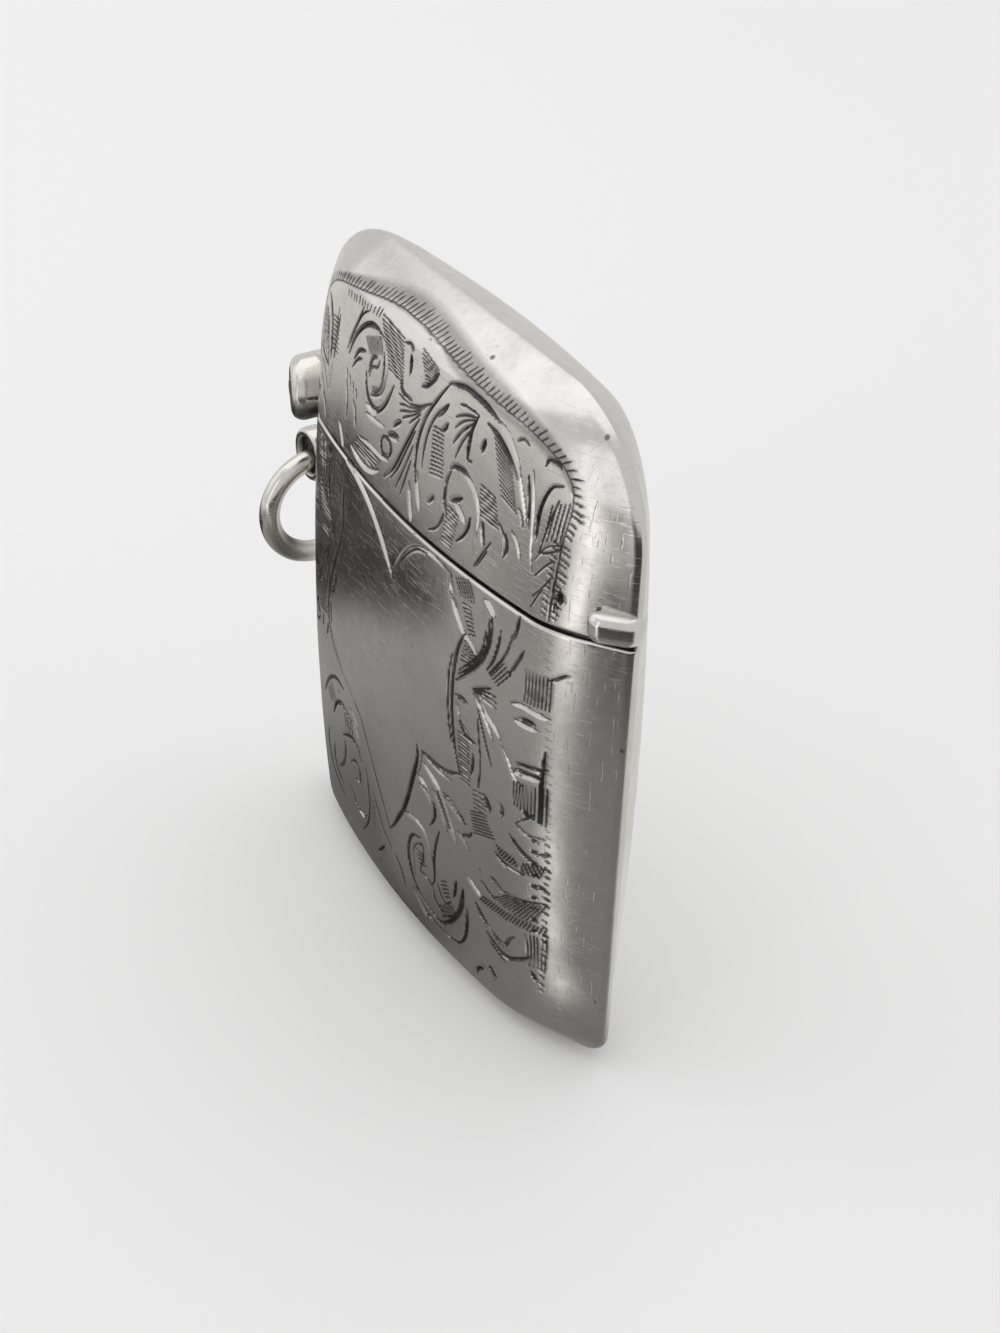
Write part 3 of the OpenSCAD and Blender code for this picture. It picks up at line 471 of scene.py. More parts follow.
def ticksAlong(line, pitch, near, far, slant, width):  # short slanted cuts beside a line, at an even pitch
    p = curve(line, borders["steps"])
    step = np.hypot(*np.diff(p, axis=0).T)
    run = np.concatenate([[0], np.cumsum(step)])
    at = np.arange(pitch / 2, run[-1], pitch)
    rng = np.random.default_rng(len(line))
    shift = borders["shift"]
    at = np.clip(at + pitch * rng.uniform(-shift, shift, len(at)), 0, run[-1])
    reach = rng.uniform(*borders["reach"], (len(at), 1))
    q = np.stack([np.interp(at, run, p[:, 0]), np.interp(at, run, p[:, 1])], -1)
    k = np.clip(np.searchsorted(run, at) - 1, 0, len(step) - 1)
    along = np.diff(p, axis=0)[k] / step[k][:, None]
    out = np.stack([-along[:, 1], along[:, 0]], -1)
    starts = q + out * near
    ends = q + out * (near + (far - near) * reach) + along * slant * reach
    return [("n", width * float(size), [a, b]) for size, a, b in zip(reach[:, 0], starts, ends)]


def soften(field, count):  # running mean over count points, both ways and twice: each pass also transposes
    pad = count // 2
    for k in range(4):
        wide = np.concatenate([np.zeros_like(field[:1]), np.cumsum(np.pad(field, ((pad, pad), (0, 0)), "edge"), 0)])
        field = ((wide[count:] - wide[:-count]) / count).T
    return field


def cutField(x, z, cuts):  # depth of the engraving and its tarnish at each point of the face, with painted shade where the tones g and s lie
    g = graver
    depth, tarnishAndShade = np.zeros_like(x), np.zeros_like(x)
    zRows = z[:, z.shape[1] // 2]
    light = np.array(g["lightFrom"])
    for tone, width, line in cuts:
        p = curve(line, g["stepsPerSpan"])
        half = width / 2 * g["widen"][tone]
        lo, hi = p.min(0) - half, p.max(0) + half
        r = np.flatnonzero((zRows > lo[1]) & (zRows < hi[1]))
        if not len(r):
            continue
        rows = slice(r[0], r[-1] + 1)
        c = np.flatnonzero((x[rows].max(0) > lo[0]) & (x[rows].min(0) < hi[0]))
        if not len(c):
            continue
        win = (rows, slice(c[0], c[-1] + 1))
        spot = np.stack([x[win], z[win]], -1).reshape(-1, 1, 2)
        a, d = p[:-1], np.diff(p, axis=0)
        length = np.hypot(d[:, 0], d[:, 1])
        t = np.clip(((spot - a) * d).sum(-1) / length ** 2, 0, 1)
        off = spot - a - t[..., None] * d
        dist = np.hypot(off[..., 0], off[..., 1])
        k = dist.argmin(1)
        n = np.arange(len(k))
        run = np.concatenate([[0], np.cumsum(length)])
        s = (run[k] + t[n, k] * length[k]) / run[-1]
        left = np.stack([-d[:, 1], d[:, 0]], -1) / length[:, None]
        side = dist[n, k] * np.sign((off[n, k] * left[k]).sum(-1))
        w = half * np.clip(np.minimum(s, 1 - s) * g["endGain"] + g["endLeast"], 0, 1) ** g["endPower"]
        lean = g["turn"][tone] * g["lean"] * np.clip((left[k] @ light) * g["leanGain"], -1, 1)
        u = side / w
        vee = np.minimum((1 + u) / (1 + lean), (1 - u) / (1 - lean)).clip(0, 1)
        shape = depth[win].shape
        depth[win] = np.maximum(depth[win], (vee * w * 2 * g["depth"][tone]).reshape(shape))
        held = np.maximum(w * g["narrow"][tone], g["least"][tone == "h"])
        core = np.clip(g["coreEdge"] - g["coreEdge"] * np.abs(u - lean) * w / held, 0, 1)  # at the bottom of a cut
        tarnishAndShade[win] = np.maximum(tarnishAndShade[win], np.minimum(core * g["dark"][tone], 1).reshape(shape))
    haze = np.clip(soften(tarnishAndShade, g["haloPoints"]) * g["haloGain"], 0, 1)
    return depth, np.maximum(tarnishAndShade, g["halo"] * haze)


def borderCuts():
    b = borders
    side, width, top, right = b["sideX"], b["width"], b["top"], b["right"]
    # the three soft g bands below are painted shade along the lid's shoulder and right border
    lid = [("g", 1.1, [(x, z + 0.45) for x, z in top[4:-3]]), ("g", 1.5, [(x, z + 0.1) for x, z in top[9:-2]]),
           ("g", 1.4, right[:-1]), ("b", 0.12, top), ("n", 0.13, right),
           ("n", width, [(-side, 37.6), (-side, 34.8), (-side, 32.2)])]
    for line, near, far, slant in (  # rows of ticks: the line, where they start and end beside it, and their slant
            (top, 0.1, 0.1 + b["tick"], b["slant"]), ([(-10, 42.2), (-5, 43)], -0.3, 0.1, 0.1),
            (right, 0.08, 0.5, 0.15), (right, -0.5, -0.2, 0.1), ([(-side, 32.3), (-side, 37.4)], 0.1, 0.42, 0.15)):
        lid += ticksAlong(line, b["pitch"], near, far, slant, width)
    # the first line, tone s, is painted shade along the seam
    body = [("s", 0.16, b["seamShade"]), ("n", 0.16, [(-side, 31.4), (-side, 24), (-side, 14), (-side + 0.05, 4.4)]),
            ("d", 0.26, [(13.75, 23.5), (13.65, 21), (13.6, 18.2)])]
    rightTicks = ticksAlong(b["bodyRight"], b["sidePitch"], 0.1, 0.4, 0.16, 0.2)
    body += [("g" if line[0][1] > b["fadedAbove"] else tone, size, line) for tone, size, line in rightTicks]
    body += [("d", 0.34, [(13.2, h), (13.45, h - 0.12)]) for h in np.linspace(16.8, 9.6, 9)]
    body += ticksAlong([(-side, 3.9), (-side, 30.6)], b["sidePitch"], 0.06, 0.34, 0.16, 0.24)
    return lid, body


wornLeft = dict(cutsBefore=-8, widen=1.3, fieldFrom=6.2)  # the left is worn soft where the hand holds it
lidBorder, bodyBorder = borderCuts()
leftLeaf = movedAcross(lidLeaf, fromX=10.5, toX=-10.5, scale=1.0)
softLeft = [("w", width * wornLeft["widen"], line) if max(x for x, z in line) < wornLeft["cutsBefore"]
            else (tone, width, line) for tone, width, line in bodyCuts]
leftField = movedAcross([("w", width, line) for tone, width, line in bodyField
                         if min(x for x, z in line) > wornLeft["fieldFrom"]], fromX=6.3, toX=-9.4, scale=0.6)
lidEngraving = lidCuts + lidLeaf + leftLeaf + hatch(lidShade) + lidBorder
bodyEngraving = softLeft + bodyField + leftField + hatch(fieldShade + bodyShade) + bodyBorder
print("engraving:", len(lidEngraving), "cuts on the lid,", len(bodyEngraving), "on the body")


# Half shells

shellGrid = dict(
    bodyStep=0.104, bodyColumns=(262, 17), lidStep=0.076, lidColumns=(372, 18), backStep=0.3, backColumns=(110, 16),
    bodyStepIn=0.8, lidStepIn=0.5, columnsIn=61, sharpAngle=35.0,
    evenTo=0.835, edgeShare=0.165, crowd=1.9,  # columns are even to this share of the half width, then crowd
    pivot=-0.8)                                # share of the half width where the notch starts to draw them in
sheetWave = dict(count=7, length=(4.0, 11.0), phase=6.28, height=0.0022, fade=3.0)


def wave(x, z, seed):  # the slow unevenness of hand-raised sheet: a few crossed sines
    w = sheetWave
    rng = np.random.default_rng(seed)
    total = np.zeros_like(x)
    for k in range(w["count"]):
        turn, length, phase = rng.uniform(0, math.pi), rng.uniform(*w["length"]), rng.uniform(0, w["phase"])
        total += length * np.sin((x * math.cos(turn) + z * math.sin(turn)) * 2 * math.pi / length + phase)
    return total / w["count"]


def leftEdge(z, s, notch):  # the outline's left side, cut back by the round notch for the barrel
    edge = -outlineHalf(z, s)
    room = np.maximum(0, notch ** 2 - (z - hinge["z"]) ** 2)
    return np.where(room > 0, np.maximum(edge, hinge["x"] + np.sqrt(room)), edge)


def spread(z, u, s, notch):  # grid of x: the columns u times the half width, drawn in beside the notch
    half = outlineHalf(z, s)[:, None]
    x = u[None, :] * half
    pivot = shellGrid["pivot"] * half
    pull = (leftEdge(z, s, notch)[:, None] - pivot) / (-half - pivot)
    return np.where(x < pivot, pivot + (x - pivot) * pull, x)


def faceColumns(count, edgeCount):  # even in the middle, closer and closer towards the rims
    g = shellGrid
    middle = np.linspace(-g["evenTo"], g["evenTo"], count)
    t = np.linspace(0, 1, edgeCount + 1)[1:]
    edge = g["evenTo"] + g["edgeShare"] * (1 - (1 - t) ** g["crowd"])
    return np.concatenate([-edge[::-1], middle, edge])


def around(low, high, step, *tight):  # heights at an even step, with closer ones listed between
    return np.unique(np.round(np.concatenate([np.arange(low, high, step), [high], *tight]), 4))


lidLow = caseForm["seam"] + caseForm["seamGap"]
lipSteps = np.array([1, 0.75, 0.45, 0.2, 0.06])
topNose = caseForm["height"] - caseForm["noseWidth"] * np.array([0.6, 0.3, 0.12, 0.03])
footRows = np.array([0.004, 0.02, 0.06, 0.12, 0.2])
notchSpan = hinge["radius"] * np.cos(np.radians([2, 6, 10, 15, 20, 26]))
bodySpan = dict(
    isLid=False, low=0, high=caseForm["seam"], notch=hinge["bodyNotch"],
    tight=(caseForm["seam"] - caseForm["bodyLip"] * lipSteps, footRows, hinge["z"] - notchSpan),
    inner=around(0, caseForm["seam"], shellGrid["bodyStepIn"], hinge["z"] - notchSpan, footRows))
lidSpan = dict(
    isLid=True, low=lidLow, high=caseForm["height"], notch=hinge["lidNotch"],
    tight=(lidLow + caseForm["lidLip"] * lipSteps, topNose, hinge["z"] + notchSpan),
    inner=around(lidLow, caseForm["height"] - caseForm["lap"], shellGrid["lidStepIn"], hinge["z"] + notchSpan))


def halfShell(name, front, span, step, columns, cuts, seed):  # outer skin less the cuts, inner skin, edges between
    f, g, w = caseForm, shellGrid, sheetWave
    z, zi = around(span["low"], span["high"], step, *span["tight"]), span["inner"]
    x = spread(z, faceColumns(*columns), 0.0, span["notch"])
    zz = np.repeat(z[:, None], x.shape[1], 1)
    deep = outerDepth(x, zz, front) + w["height"] * wave(x, zz, seed) * np.clip(insideEdge(x, zz) / w["fade"], 0, 1)
    if span["isLid"]:  # soft edges at the mouth, the body's more worn near the thumb
        edge, lip = z[0], f["lidLip"]
    else:
        edge, lip = z[-1], f["bodyLip"] * np.interp(x, f["lipAcross"], [1, f["lipGrowth"]])
    q = np.clip(1 - np.abs(zz - edge) / lip, 0, 1)
    deep -= np.minimum(lip * (1 - np.sqrt(1 - q * q)), deep)
    depth, tarnishAndShade = cutField(x, zz, cuts)
    deep = np.maximum(deep - depth, 0)
    xi = spread(zi, np.sin(np.linspace(-math.pi / 2, math.pi / 2, g["columnsIn"])), f["lap"], span["notch"])
    zzi = np.repeat(zi[:, None], xi.shape[1], 1)
    deepIn = np.maximum(innerDepth(xi, zzi, front), 0)
    side = -1 if front else 1
    outer = np.stack([x, side * deep, zz], -1).reshape(-1, 3)
    inner = np.stack([xi, side * deepIn, zzi], -1).reshape(-1, 3)
    io = np.arange(x.size).reshape(x.shape)
    ii = np.arange(xi.size).reshape(xi.shape) + x.size
    quads = np.concatenate([quadIndex(*x.shape), quadIndex(*xi.shape, start=x.size)[:, ::-1]])
    tris = np.concatenate([
        zipStrip(io[:, 0], ii[:, 0]), zipStrip(io[:, -1], ii[:, -1], True),
        zipStrip(io[0], ii[0], True), zipStrip(io[-1], ii[-1])])
    if not front:
        quads, tris = quads[:, ::-1], tris[:, ::-1]
    attributes = dict(tarnishAndShade=np.concatenate([tarnishAndShade.ravel(), np.zeros(xi.size)]))
    return makePiece(name, np.concatenate([outer, inner]), quads, tris, g["sharpAngle"], attributes)


bodyFront = halfShell("bodyFront", True, bodySpan, shellGrid["bodyStep"], shellGrid["bodyColumns"], bodyEngraving, 3)
bodyBack = halfShell("bodyBack", False, bodySpan, shellGrid["backStep"], shellGrid["backColumns"], [], 5)
lidFront = halfShell("lidFront", True, lidSpan, shellGrid["lidStep"], shellGrid["lidColumns"], lidEngraving, 8)
lidBack = halfShell("lidBack", False, lidSpan, shellGrid["backStep"], shellGrid["backColumns"], [], 9)
print("shells:", [len(o.data.polygons) for o in (bodyFront, bodyBack, lidFront, lidBack)], "faces")


# Turned and drawn pieces

# painted shade under the hinge's knuckles: how far above the middle it starts, the span it deepens over, its strength
paintedShade = dict(lift=0.12, reach=0.6, full=1.15)


def arc(cx, cy, r, a0, a1, n):  # n points from angle a0 to a1, in degrees
    t = np.radians(np.linspace(a0, a1, n))
    return np.stack([cx + r * np.cos(t), cy + r * np.sin(t)], -1)


def circle(count):  # angles round a whole turn
    return np.linspace(0, 2 * math.pi, count, endpoint=False)


def paintedShadeUnder(points, middle, radius):  # painted shade on the lower side of a piece, darker towards the bottom
    g = paintedShade
    t = np.clip((middle - points[..., 2]) / radius + g["lift"], 0, g["reach"]) / g["reach"]
    return g["full"] * t * t * (3 - 2 * t)


def knuckle(name, sign):  # a short tube turned from its outline, with the outer end filed to a slant
    h = hinge
    r, e, bore, small = h["radius"], h["edge"], h["pin"] + h["pinEase"], h["innerEdge"]
    y0, y1 = h["lidLength"] / 2 + h["gap"], h["length"] / 2
    profile = np.concatenate([
        [(bore, y0), (r - small, y0), (r, y0 + small), (r, y0 + h["land"])],
        arc(r - e, y1 - e, e, 0, 90, 10), [(h["pin"] + h["land"], y1), (bore, y1 - h["pinEase"])]])
    a = circle(h["columns"])[:, None]
    u, v = profile[:, 0] * np.cos(a), profile[:, 0] * np.sin(a)
    along = profile[:, 1] + 0 * a
    slope = math.tan(math.radians(h["slant"]))
    reach = along + slope * u * np.clip((along - y0) / (y1 - y0), 0, 1)  # sheared more and more towards the end
    pts = np.stack([h["x"] + u, sign * reach, h["z"] + v * sign], -1)
    quads = quadIndex(len(a), len(profile), True, True)
    # the attribute here holds only painted shade, on the knuckle's lower side
    return makePiece(name, pts.reshape(-1, 3), quads, None, 45.0, dict(tarnishAndShade=paintedShadeUnder(pts, h["z"], r)))


hingeKnuckleFront = knuckle("hingeKnuckleFront", -1)
hingeKnuckleBack = knuckle("hingeKnuckleBack", 1)


def lidKnuckleShape():  # a tube with two flats for the spring, each at its distance over the cosine of the turn from it
    h = hinge
    a = circle(h["lidColumns"])
    outline = np.full_like(a, h["radius"])
    for turn in (0.0, -math.radians(h["openAngle"])):
        outline = np.minimum(outline, h["camRadius"] / np.maximum(np.cos(a - turn), 0.5))
    y, small = h["lidLength"] / 2, h["innerEdge"]
    bore = 0 * a + h["pin"] + small
    rs = np.stack([bore, outline - small, outline, outline, outline - small, bore], -1)
    ys = np.array([-y, -y, -y + small, y - small, y, y])[None, :] + 0 * rs
    pts = np.stack([h["x"] + rs * np.cos(a)[:, None], ys, h["z"] + rs * np.sin(a)[:, None]], -1)
    quads = quadIndex(len(a), rs.shape[1], True, True)[:, ::-1]
    return makePiece("lidKnuckle", pts.reshape(-1, 3), quads, None, 30.0)


lidKnuckle = lidKnuckleShape()

lug = dict(
    x=-20.25, z=25.05, eye=1.9, hole=1.22, thick=1.5, columns=96, wireColumns=28, squareAcross=0.75, squareDeep=0.6,
    stem=0.75, stemFrom=1.25, stemLength=2.0, stemRows=14, flare=0.55, flareFrom=0.35, flareOver=0.4, flat=0.95,
    eyeShade=0.75, stemShade=0.7)


def lugShape():  # an eye of rounded section, and a stem that flares where it meets the rim
    g = lug
    mid, half = (g["eye"] + g["hole"]) / 2, (g["eye"] - g["hole"]) / 2
    a, b = circle(g["columns"]), circle(g["wireColumns"])
    ca, sa, cb, sb = np.cos(a), np.sin(a), np.cos(b), np.sin(b)
    r = mid + half * np.sign(cb) * np.abs(cb) ** g["squareAcross"]
    y = g["thick"] / 2 * np.sign(sb) * np.abs(sb) ** g["squareDeep"]
    eye = np.stack([g["x"] + r * ca[:, None], y + 0 * a[:, None], g["z"] + r * sa[:, None]], -1)
    s = np.linspace(0, 1, g["stemRows"])
    xs = g["x"] + g["stemFrom"] + s * g["stemLength"]
    flare = g["stem"] * (1 + g["flare"] * np.clip((s - g["flareFrom"]) / g["flareOver"], 0, 1) ** 2)
    stem = np.stack([xs[:, None] + 0 * a, flare[:, None] * ca * g["flat"], g["z"] + flare[:, None] * sa], -1)
    caps = np.array([[xs[0], 0, g["z"]], [xs[-1], 0, g["z"]]])
    n, ne, ns = len(a), len(a) * len(b), len(s) * len(a)
    first, last = np.arange(n) + ne, np.arange(n) + ne + ns - n
    tris = np.concatenate([
        np.stack([first, np.roll(first, -1), np.full(n, ne + ns)], -1)[:, ::-1],
        np.stack([last, np.roll(last, -1), np.full(n, ne + ns + 1)], -1)])
    quads = np.concatenate([quadIndex(n, len(b), True, True), quadIndex(len(s), n, False, True, ne)[:, ::-1]])
    # painted shade on the eye's inner half, round its hole, and growing towards where the stem meets the rim
    tarnishAndShade = np.concatenate([
        np.tile(g["eyeShade"] * np.clip(-cb, 0, 1), n), np.repeat(g["stemShade"] * s ** 3, n), [0, 0]])
    points = np.concatenate([eye.reshape(-1, 3), stem.reshape(-1, 3), caps])
    return makePiece("ringLug", points, quads, tris, 50.0, dict(tarnishAndShade=tarnishAndShade))


ring = dict(
    # the shade settings paint shade on the ring's lower front
    radius=3.65, wire=0.72, z=21.028, columns=180, wireColumns=36, uneven=0.03, jointAt=4.2, jointWide=0.12,
    swollen=0.02, paintedShade=0.8, shadeAt=3.85, shadeWide=0.5, shadeTurn=2.9, shadeShares=(0.45, 0.55))


def ringShape():  # round wire bent to a circle, the soldered joint a little swollen
    g = ring
    a, b = circle(g["columns"])[:, None], circle(g["wireColumns"])[None]
    joint = np.exp(-((np.angle(np.exp(1j * (a - g["jointAt"])))) / g["jointWide"]) ** 2)
    wire = g["wire"] * (1 - g["uneven"] * np.cos(a * 2 + 1) + g["swollen"] * joint)
    r = g["radius"] + wire * np.cos(b)
    pts = np.stack([lug["x"] + wire * np.sin(b), r * np.cos(a), g["z"] + r * np.sin(a)], -1)
    low = np.exp(-((a - g["shadeAt"]) / g["shadeWide"]) ** 2)  # painted shade on the lower front of the ring, strongest on the wire's inner side
    even, turned = g["shadeShares"]
    tarnishAndShade = g["paintedShade"] * low * np.clip(even + turned * np.cos(b - g["shadeTurn"]), 0, 1)
    quads = quadIndex(*tarnishAndShade.shape, True, True)[:, ::-1]
    return makePiece("suspensionRing", pts.reshape(-1, 3), quads, None, 60.0, dict(tarnishAndShade=tarnishAndShade))


ringLug = lugShape()
suspensionRing = ringShape()

thumb = dict(
    x=17.1, y=-0.35, span=1.4, turn=45.0, low=32.15, height=1.95, radius=0.9, topEdge=0.7, topRows=14,
    underEdge=0.8, underRows=16, sunk=0.12, columns=72, planTurn=(-80, 190), planSteps=541, evenSteps=900)


def thumbPlan(radius):  # side of the nib seen from above: two round ends and the flat between them
    t = thumb
    turn = math.radians(t["turn"])
    a = np.radians(np.linspace(*t["planTurn"], t["planSteps"]))  # azimuth of the side's normal, from the front
    back = np.where(a < turn, t["span"], 0.0)
    plan = np.stack([t["x"] - back * math.sin(turn) + radius * np.sin(a),
                     t["y"] - back * math.cos(turn) - radius * np.cos(a)], -1)
    run = np.concatenate([[0], np.cumsum(np.hypot(*np.diff(plan, axis=0).T))])
    even = np.linspace(0, run[-1], t["evenSteps"])
    return np.interp(even, run, plan[:, 0]), np.interp(even, run, plan[:, 1])


def thumbShape():  # level sections of the nib where it stands clear of the lid, closed just under the lid's skin
    t = thumb
    r, te, ue, low, high = t["radius"], t["topEdge"], t["underEdge"], t["low"], t["low"] + t["height"]
    profile = np.concatenate([
        arc(r - ue, low + ue, ue, -90, 0, t["underRows"]), arc(r - te, high - te, te, 0, 90, t["topRows"])])
    c = t["columns"]
    loops = []
    for radius, z in profile:
        x, y = thumbPlan(radius)
        half = float(outlineHalf(np.array(z)))
        clear = (x > half) | (np.abs(y) > outerDepth(np.minimum(x, half), z + 0 * x, y < 0))
        first, last = np.flatnonzero(clear)[[0, -1]]
        pick = np.linspace(first, last, c)
        ox, oy = np.interp(pick, np.arange(len(x)), x), np.interp(pick, np.arange(len(x)), y)
        ends = np.sign(oy[[-1, 0]]) * np.maximum(half - ox[[-1, 0]], 0)
        q = np.linspace(*ends, c)[1:-1]  # way back round the rim, front negative
        bx = half - t["sunk"] - np.abs(q)
        by = np.sign(q) * np.maximum(outerDepth(bx, z + 0 * bx, q < 0) - t["sunk"], 0)
        loops.append(np.stack([np.concatenate([ox, bx]), np.concatenate([oy, by]), np.full(2 * c - 2, z)], -1))
    loop = np.array(loops)
    n, m = loop.shape[:2]
    k = np.arange(1, c - 2)
    cap = np.stack([k, k + 1, m - k - 1, m - k], -1)
    tip = np.array([[0, 1, m - 1], [c - 2, c - 1, c]])
    quads = np.concatenate([quadIndex(n, m, False, True), cap[:, ::-1], cap + (n - 1) * m])
    tris = np.concatenate([tip[:, ::-1], tip + (n - 1) * m])
    return makePiece("thumbPiece", loop.reshape(-1, 3), quads, tris, 45.0)


thumbPiece = thumbShape()

bezel = dict(
    up=1.4, down=3.6, thick=0.35, fromU=-0.7071, toU=0.9439, gapBody=0.04, gapLid=0.18, underSeam=0.1, least=0.05,
    columns=90, edgeRows=9)


def bezelShape():  # a strip carried round the inside of the mouth, its top edge rounded
    b, f = bezel, caseForm
    half = f["halfWidth"] - f["lap"]
    low, mouth, high = f["seam"] - b["down"], f["seam"] - b["underSeam"], f["seam"] + b["up"]
    x0, x1 = b["fromU"] * half, b["toU"] * half
    along = x0 + (x1 - x0) * np.sin(np.linspace(0, 1, b["columns"]) * math.pi / 2)
    e = b["thick"] / 2
    edge = [(e - e * math.cos(t), high - e + e * math.sin(t)) for t in np.linspace(0, math.pi, b["edgeRows"])]
    inset, height = np.array([(0, low), (0, mouth)] + edge + [(b["thick"], low)]).T
    gap = np.interp(height, [mouth, high], [b["gapBody"], b["gapLid"]])
    shrink = (x1 - inset - x0) / (x1 - x0)
    xs = x0 + (along[:, None] - x0) * shrink
    zs = height + 0 * xs
    ys = np.maximum(innerDepth(xs, zs) - gap - inset, b["least"])
    pts = np.concatenate([np.stack([xs, -ys, zs], -1), np.stack([xs, ys, zs], -1)[::-1]])
    n, m = pts.shape[:2]
    first, last = np.arange(m), np.arange(m) + (n - 1) * m
    k = np.arange(1, m - 1)
    tris = np.concatenate([
        np.stack([0 * k + first[0], first[k + 1], first[k]], -1)[:, ::-1],
        np.stack([0 * k + last[0], last[k + 1], last[k]], -1)])
    return makePiece("mouthBezel", pts.reshape(-1, 3), quadIndex(n, m, False, True)[:, ::-1], tris, 40.0)


mouthBezel = bezelShape()
print("turned pieces and bezel made")


# Materials

def newMaterial(name, kind="ShaderNodeBsdfPrincipled"):  # a material of one shader, with its tree and that shader
    mat = bpy.data.materials.new(name)
    mat.use_nodes = True
    tree = mat.node_tree
    tree.nodes.clear()
    out = tree.nodes.new("ShaderNodeOutputMaterial")
    shader = tree.nodes.new(kind)
    tree.links.new(shader.outputs[0], out.inputs[0])
    return mat, tree, shader


def node(tree, kind, inputs=None, **props):  # a node with its settings, and inputs that are values or links
    n = tree.nodes.new(kind)
    for key, value in props.items():
        setattr(n, key, value)
    for key, value in (inputs or {}).items():
        if hasattr(value, "is_output"):
            tree.links.new(value, n.inputs[key])
        else:
            n.inputs[key].default_value = value
    return n


def mapRange(tree, value, a, b, c, d):
    return node(tree, "ShaderNodeMapRange", {0: value, 1: a, 2: b, 3: c, 4: d}).outputs[0]


def math2(tree, op, a, b):
    return node(tree, "ShaderNodeMath", {0: a, 1: b}, operation=op).outputs[0]


def noiseAt(tree, coords, scale, detail=2.0, rough=0.5, stretch=(1, 1, 1), turn=(0, 0, 0)):
    m = node(tree, "ShaderNodeMapping", {"Vector": coords, "Scale": stretch, "Rotation": turn})
    return node(tree, "ShaderNodeTexNoise", {"Vector": m.outputs[0], "Scale": scale, "Detail": detail,
                                             "Roughness": rough}).outputs[0]


def finishMetal(tree, shader, colour, rough, height, strength):  # links a metal's colour, roughness and fine relief
    bump = node(tree, "ShaderNodeBump", {"Height": height, "Strength": strength, "Distance": reliefDepth})
    shader.inputs["Metallic"].default_value = 1.0
    for key, output in (("Base Color", colour), ("Roughness", rough), ("Normal", bump.outputs[0])):
        tree.links.new(output, shader.inputs[key])


reliefDepth = 0.00002
silverLook = dict(
    clean=(0.72, 0.705, 0.68), dull=(0.56, 0.545, 0.52), oxide=(0.035, 0.033, 0.031), pitScale=900.0,
    roughCloud=(0.35, 0.68), roughLow=0.13, roughHigh=0.23, scuffDepth=0.35, relief=0.5)
silverNoise = dict(  # scale, detail, roughness and, for scratches, stretch and turn
    patchy=(380.0, 4.0, 0.65),                           # smaller smudges
    cloud=(150.0, 4.0, 0.6),                             # slow clouds of tarnish, some 6 mm across
    fine=(1500.0, 3.0, 0.6),                             # fine grain of worn silver
    lineA=(700.0, 1.0, 0.4, (1, 1, 14), (0, 0.5, 0)),    # scratches one way
    lineB=(650.0, 1.0, 0.4, (12, 1, 1), (0, 0.9, 0.3)),  # and another
    pick=(420.0, 2.0, 0.5))                              # places where pits gather
silverRange = dict(  # from and to of a value, and what they become
    dullCloud=(0.42, 0.7, 0.0, 0.5), pitSize=(0.1, 0.2, 1.0, 0.0), pitPlace=(0.62, 0.66, 0.0, 1.0),
    pitDark=(0.0, 1.0, 0.0, 0.75), smudge=(0.5, 0.8, 0.0, 0.13), speck=(0.6, 0.78, 0.0, 0.16),
    tarnishAndShadeCore=(0.08, 0.85, 0.0, 0.95), tarnishAndShadeWear=(0.3, 0.5, 0.7, 1.0), scratchA=(0.64, 0.7, 0.0, 1.0),
    scratchB=(0.66, 0.72, 0.0, 1.0), fineRough=(0.35, 0.7, 0.0, 0.06), darkRough=(0.0, 1.0, 0.0, 0.2),
    fineHeight=(0.0, 1.0, 0.0, 0.08))


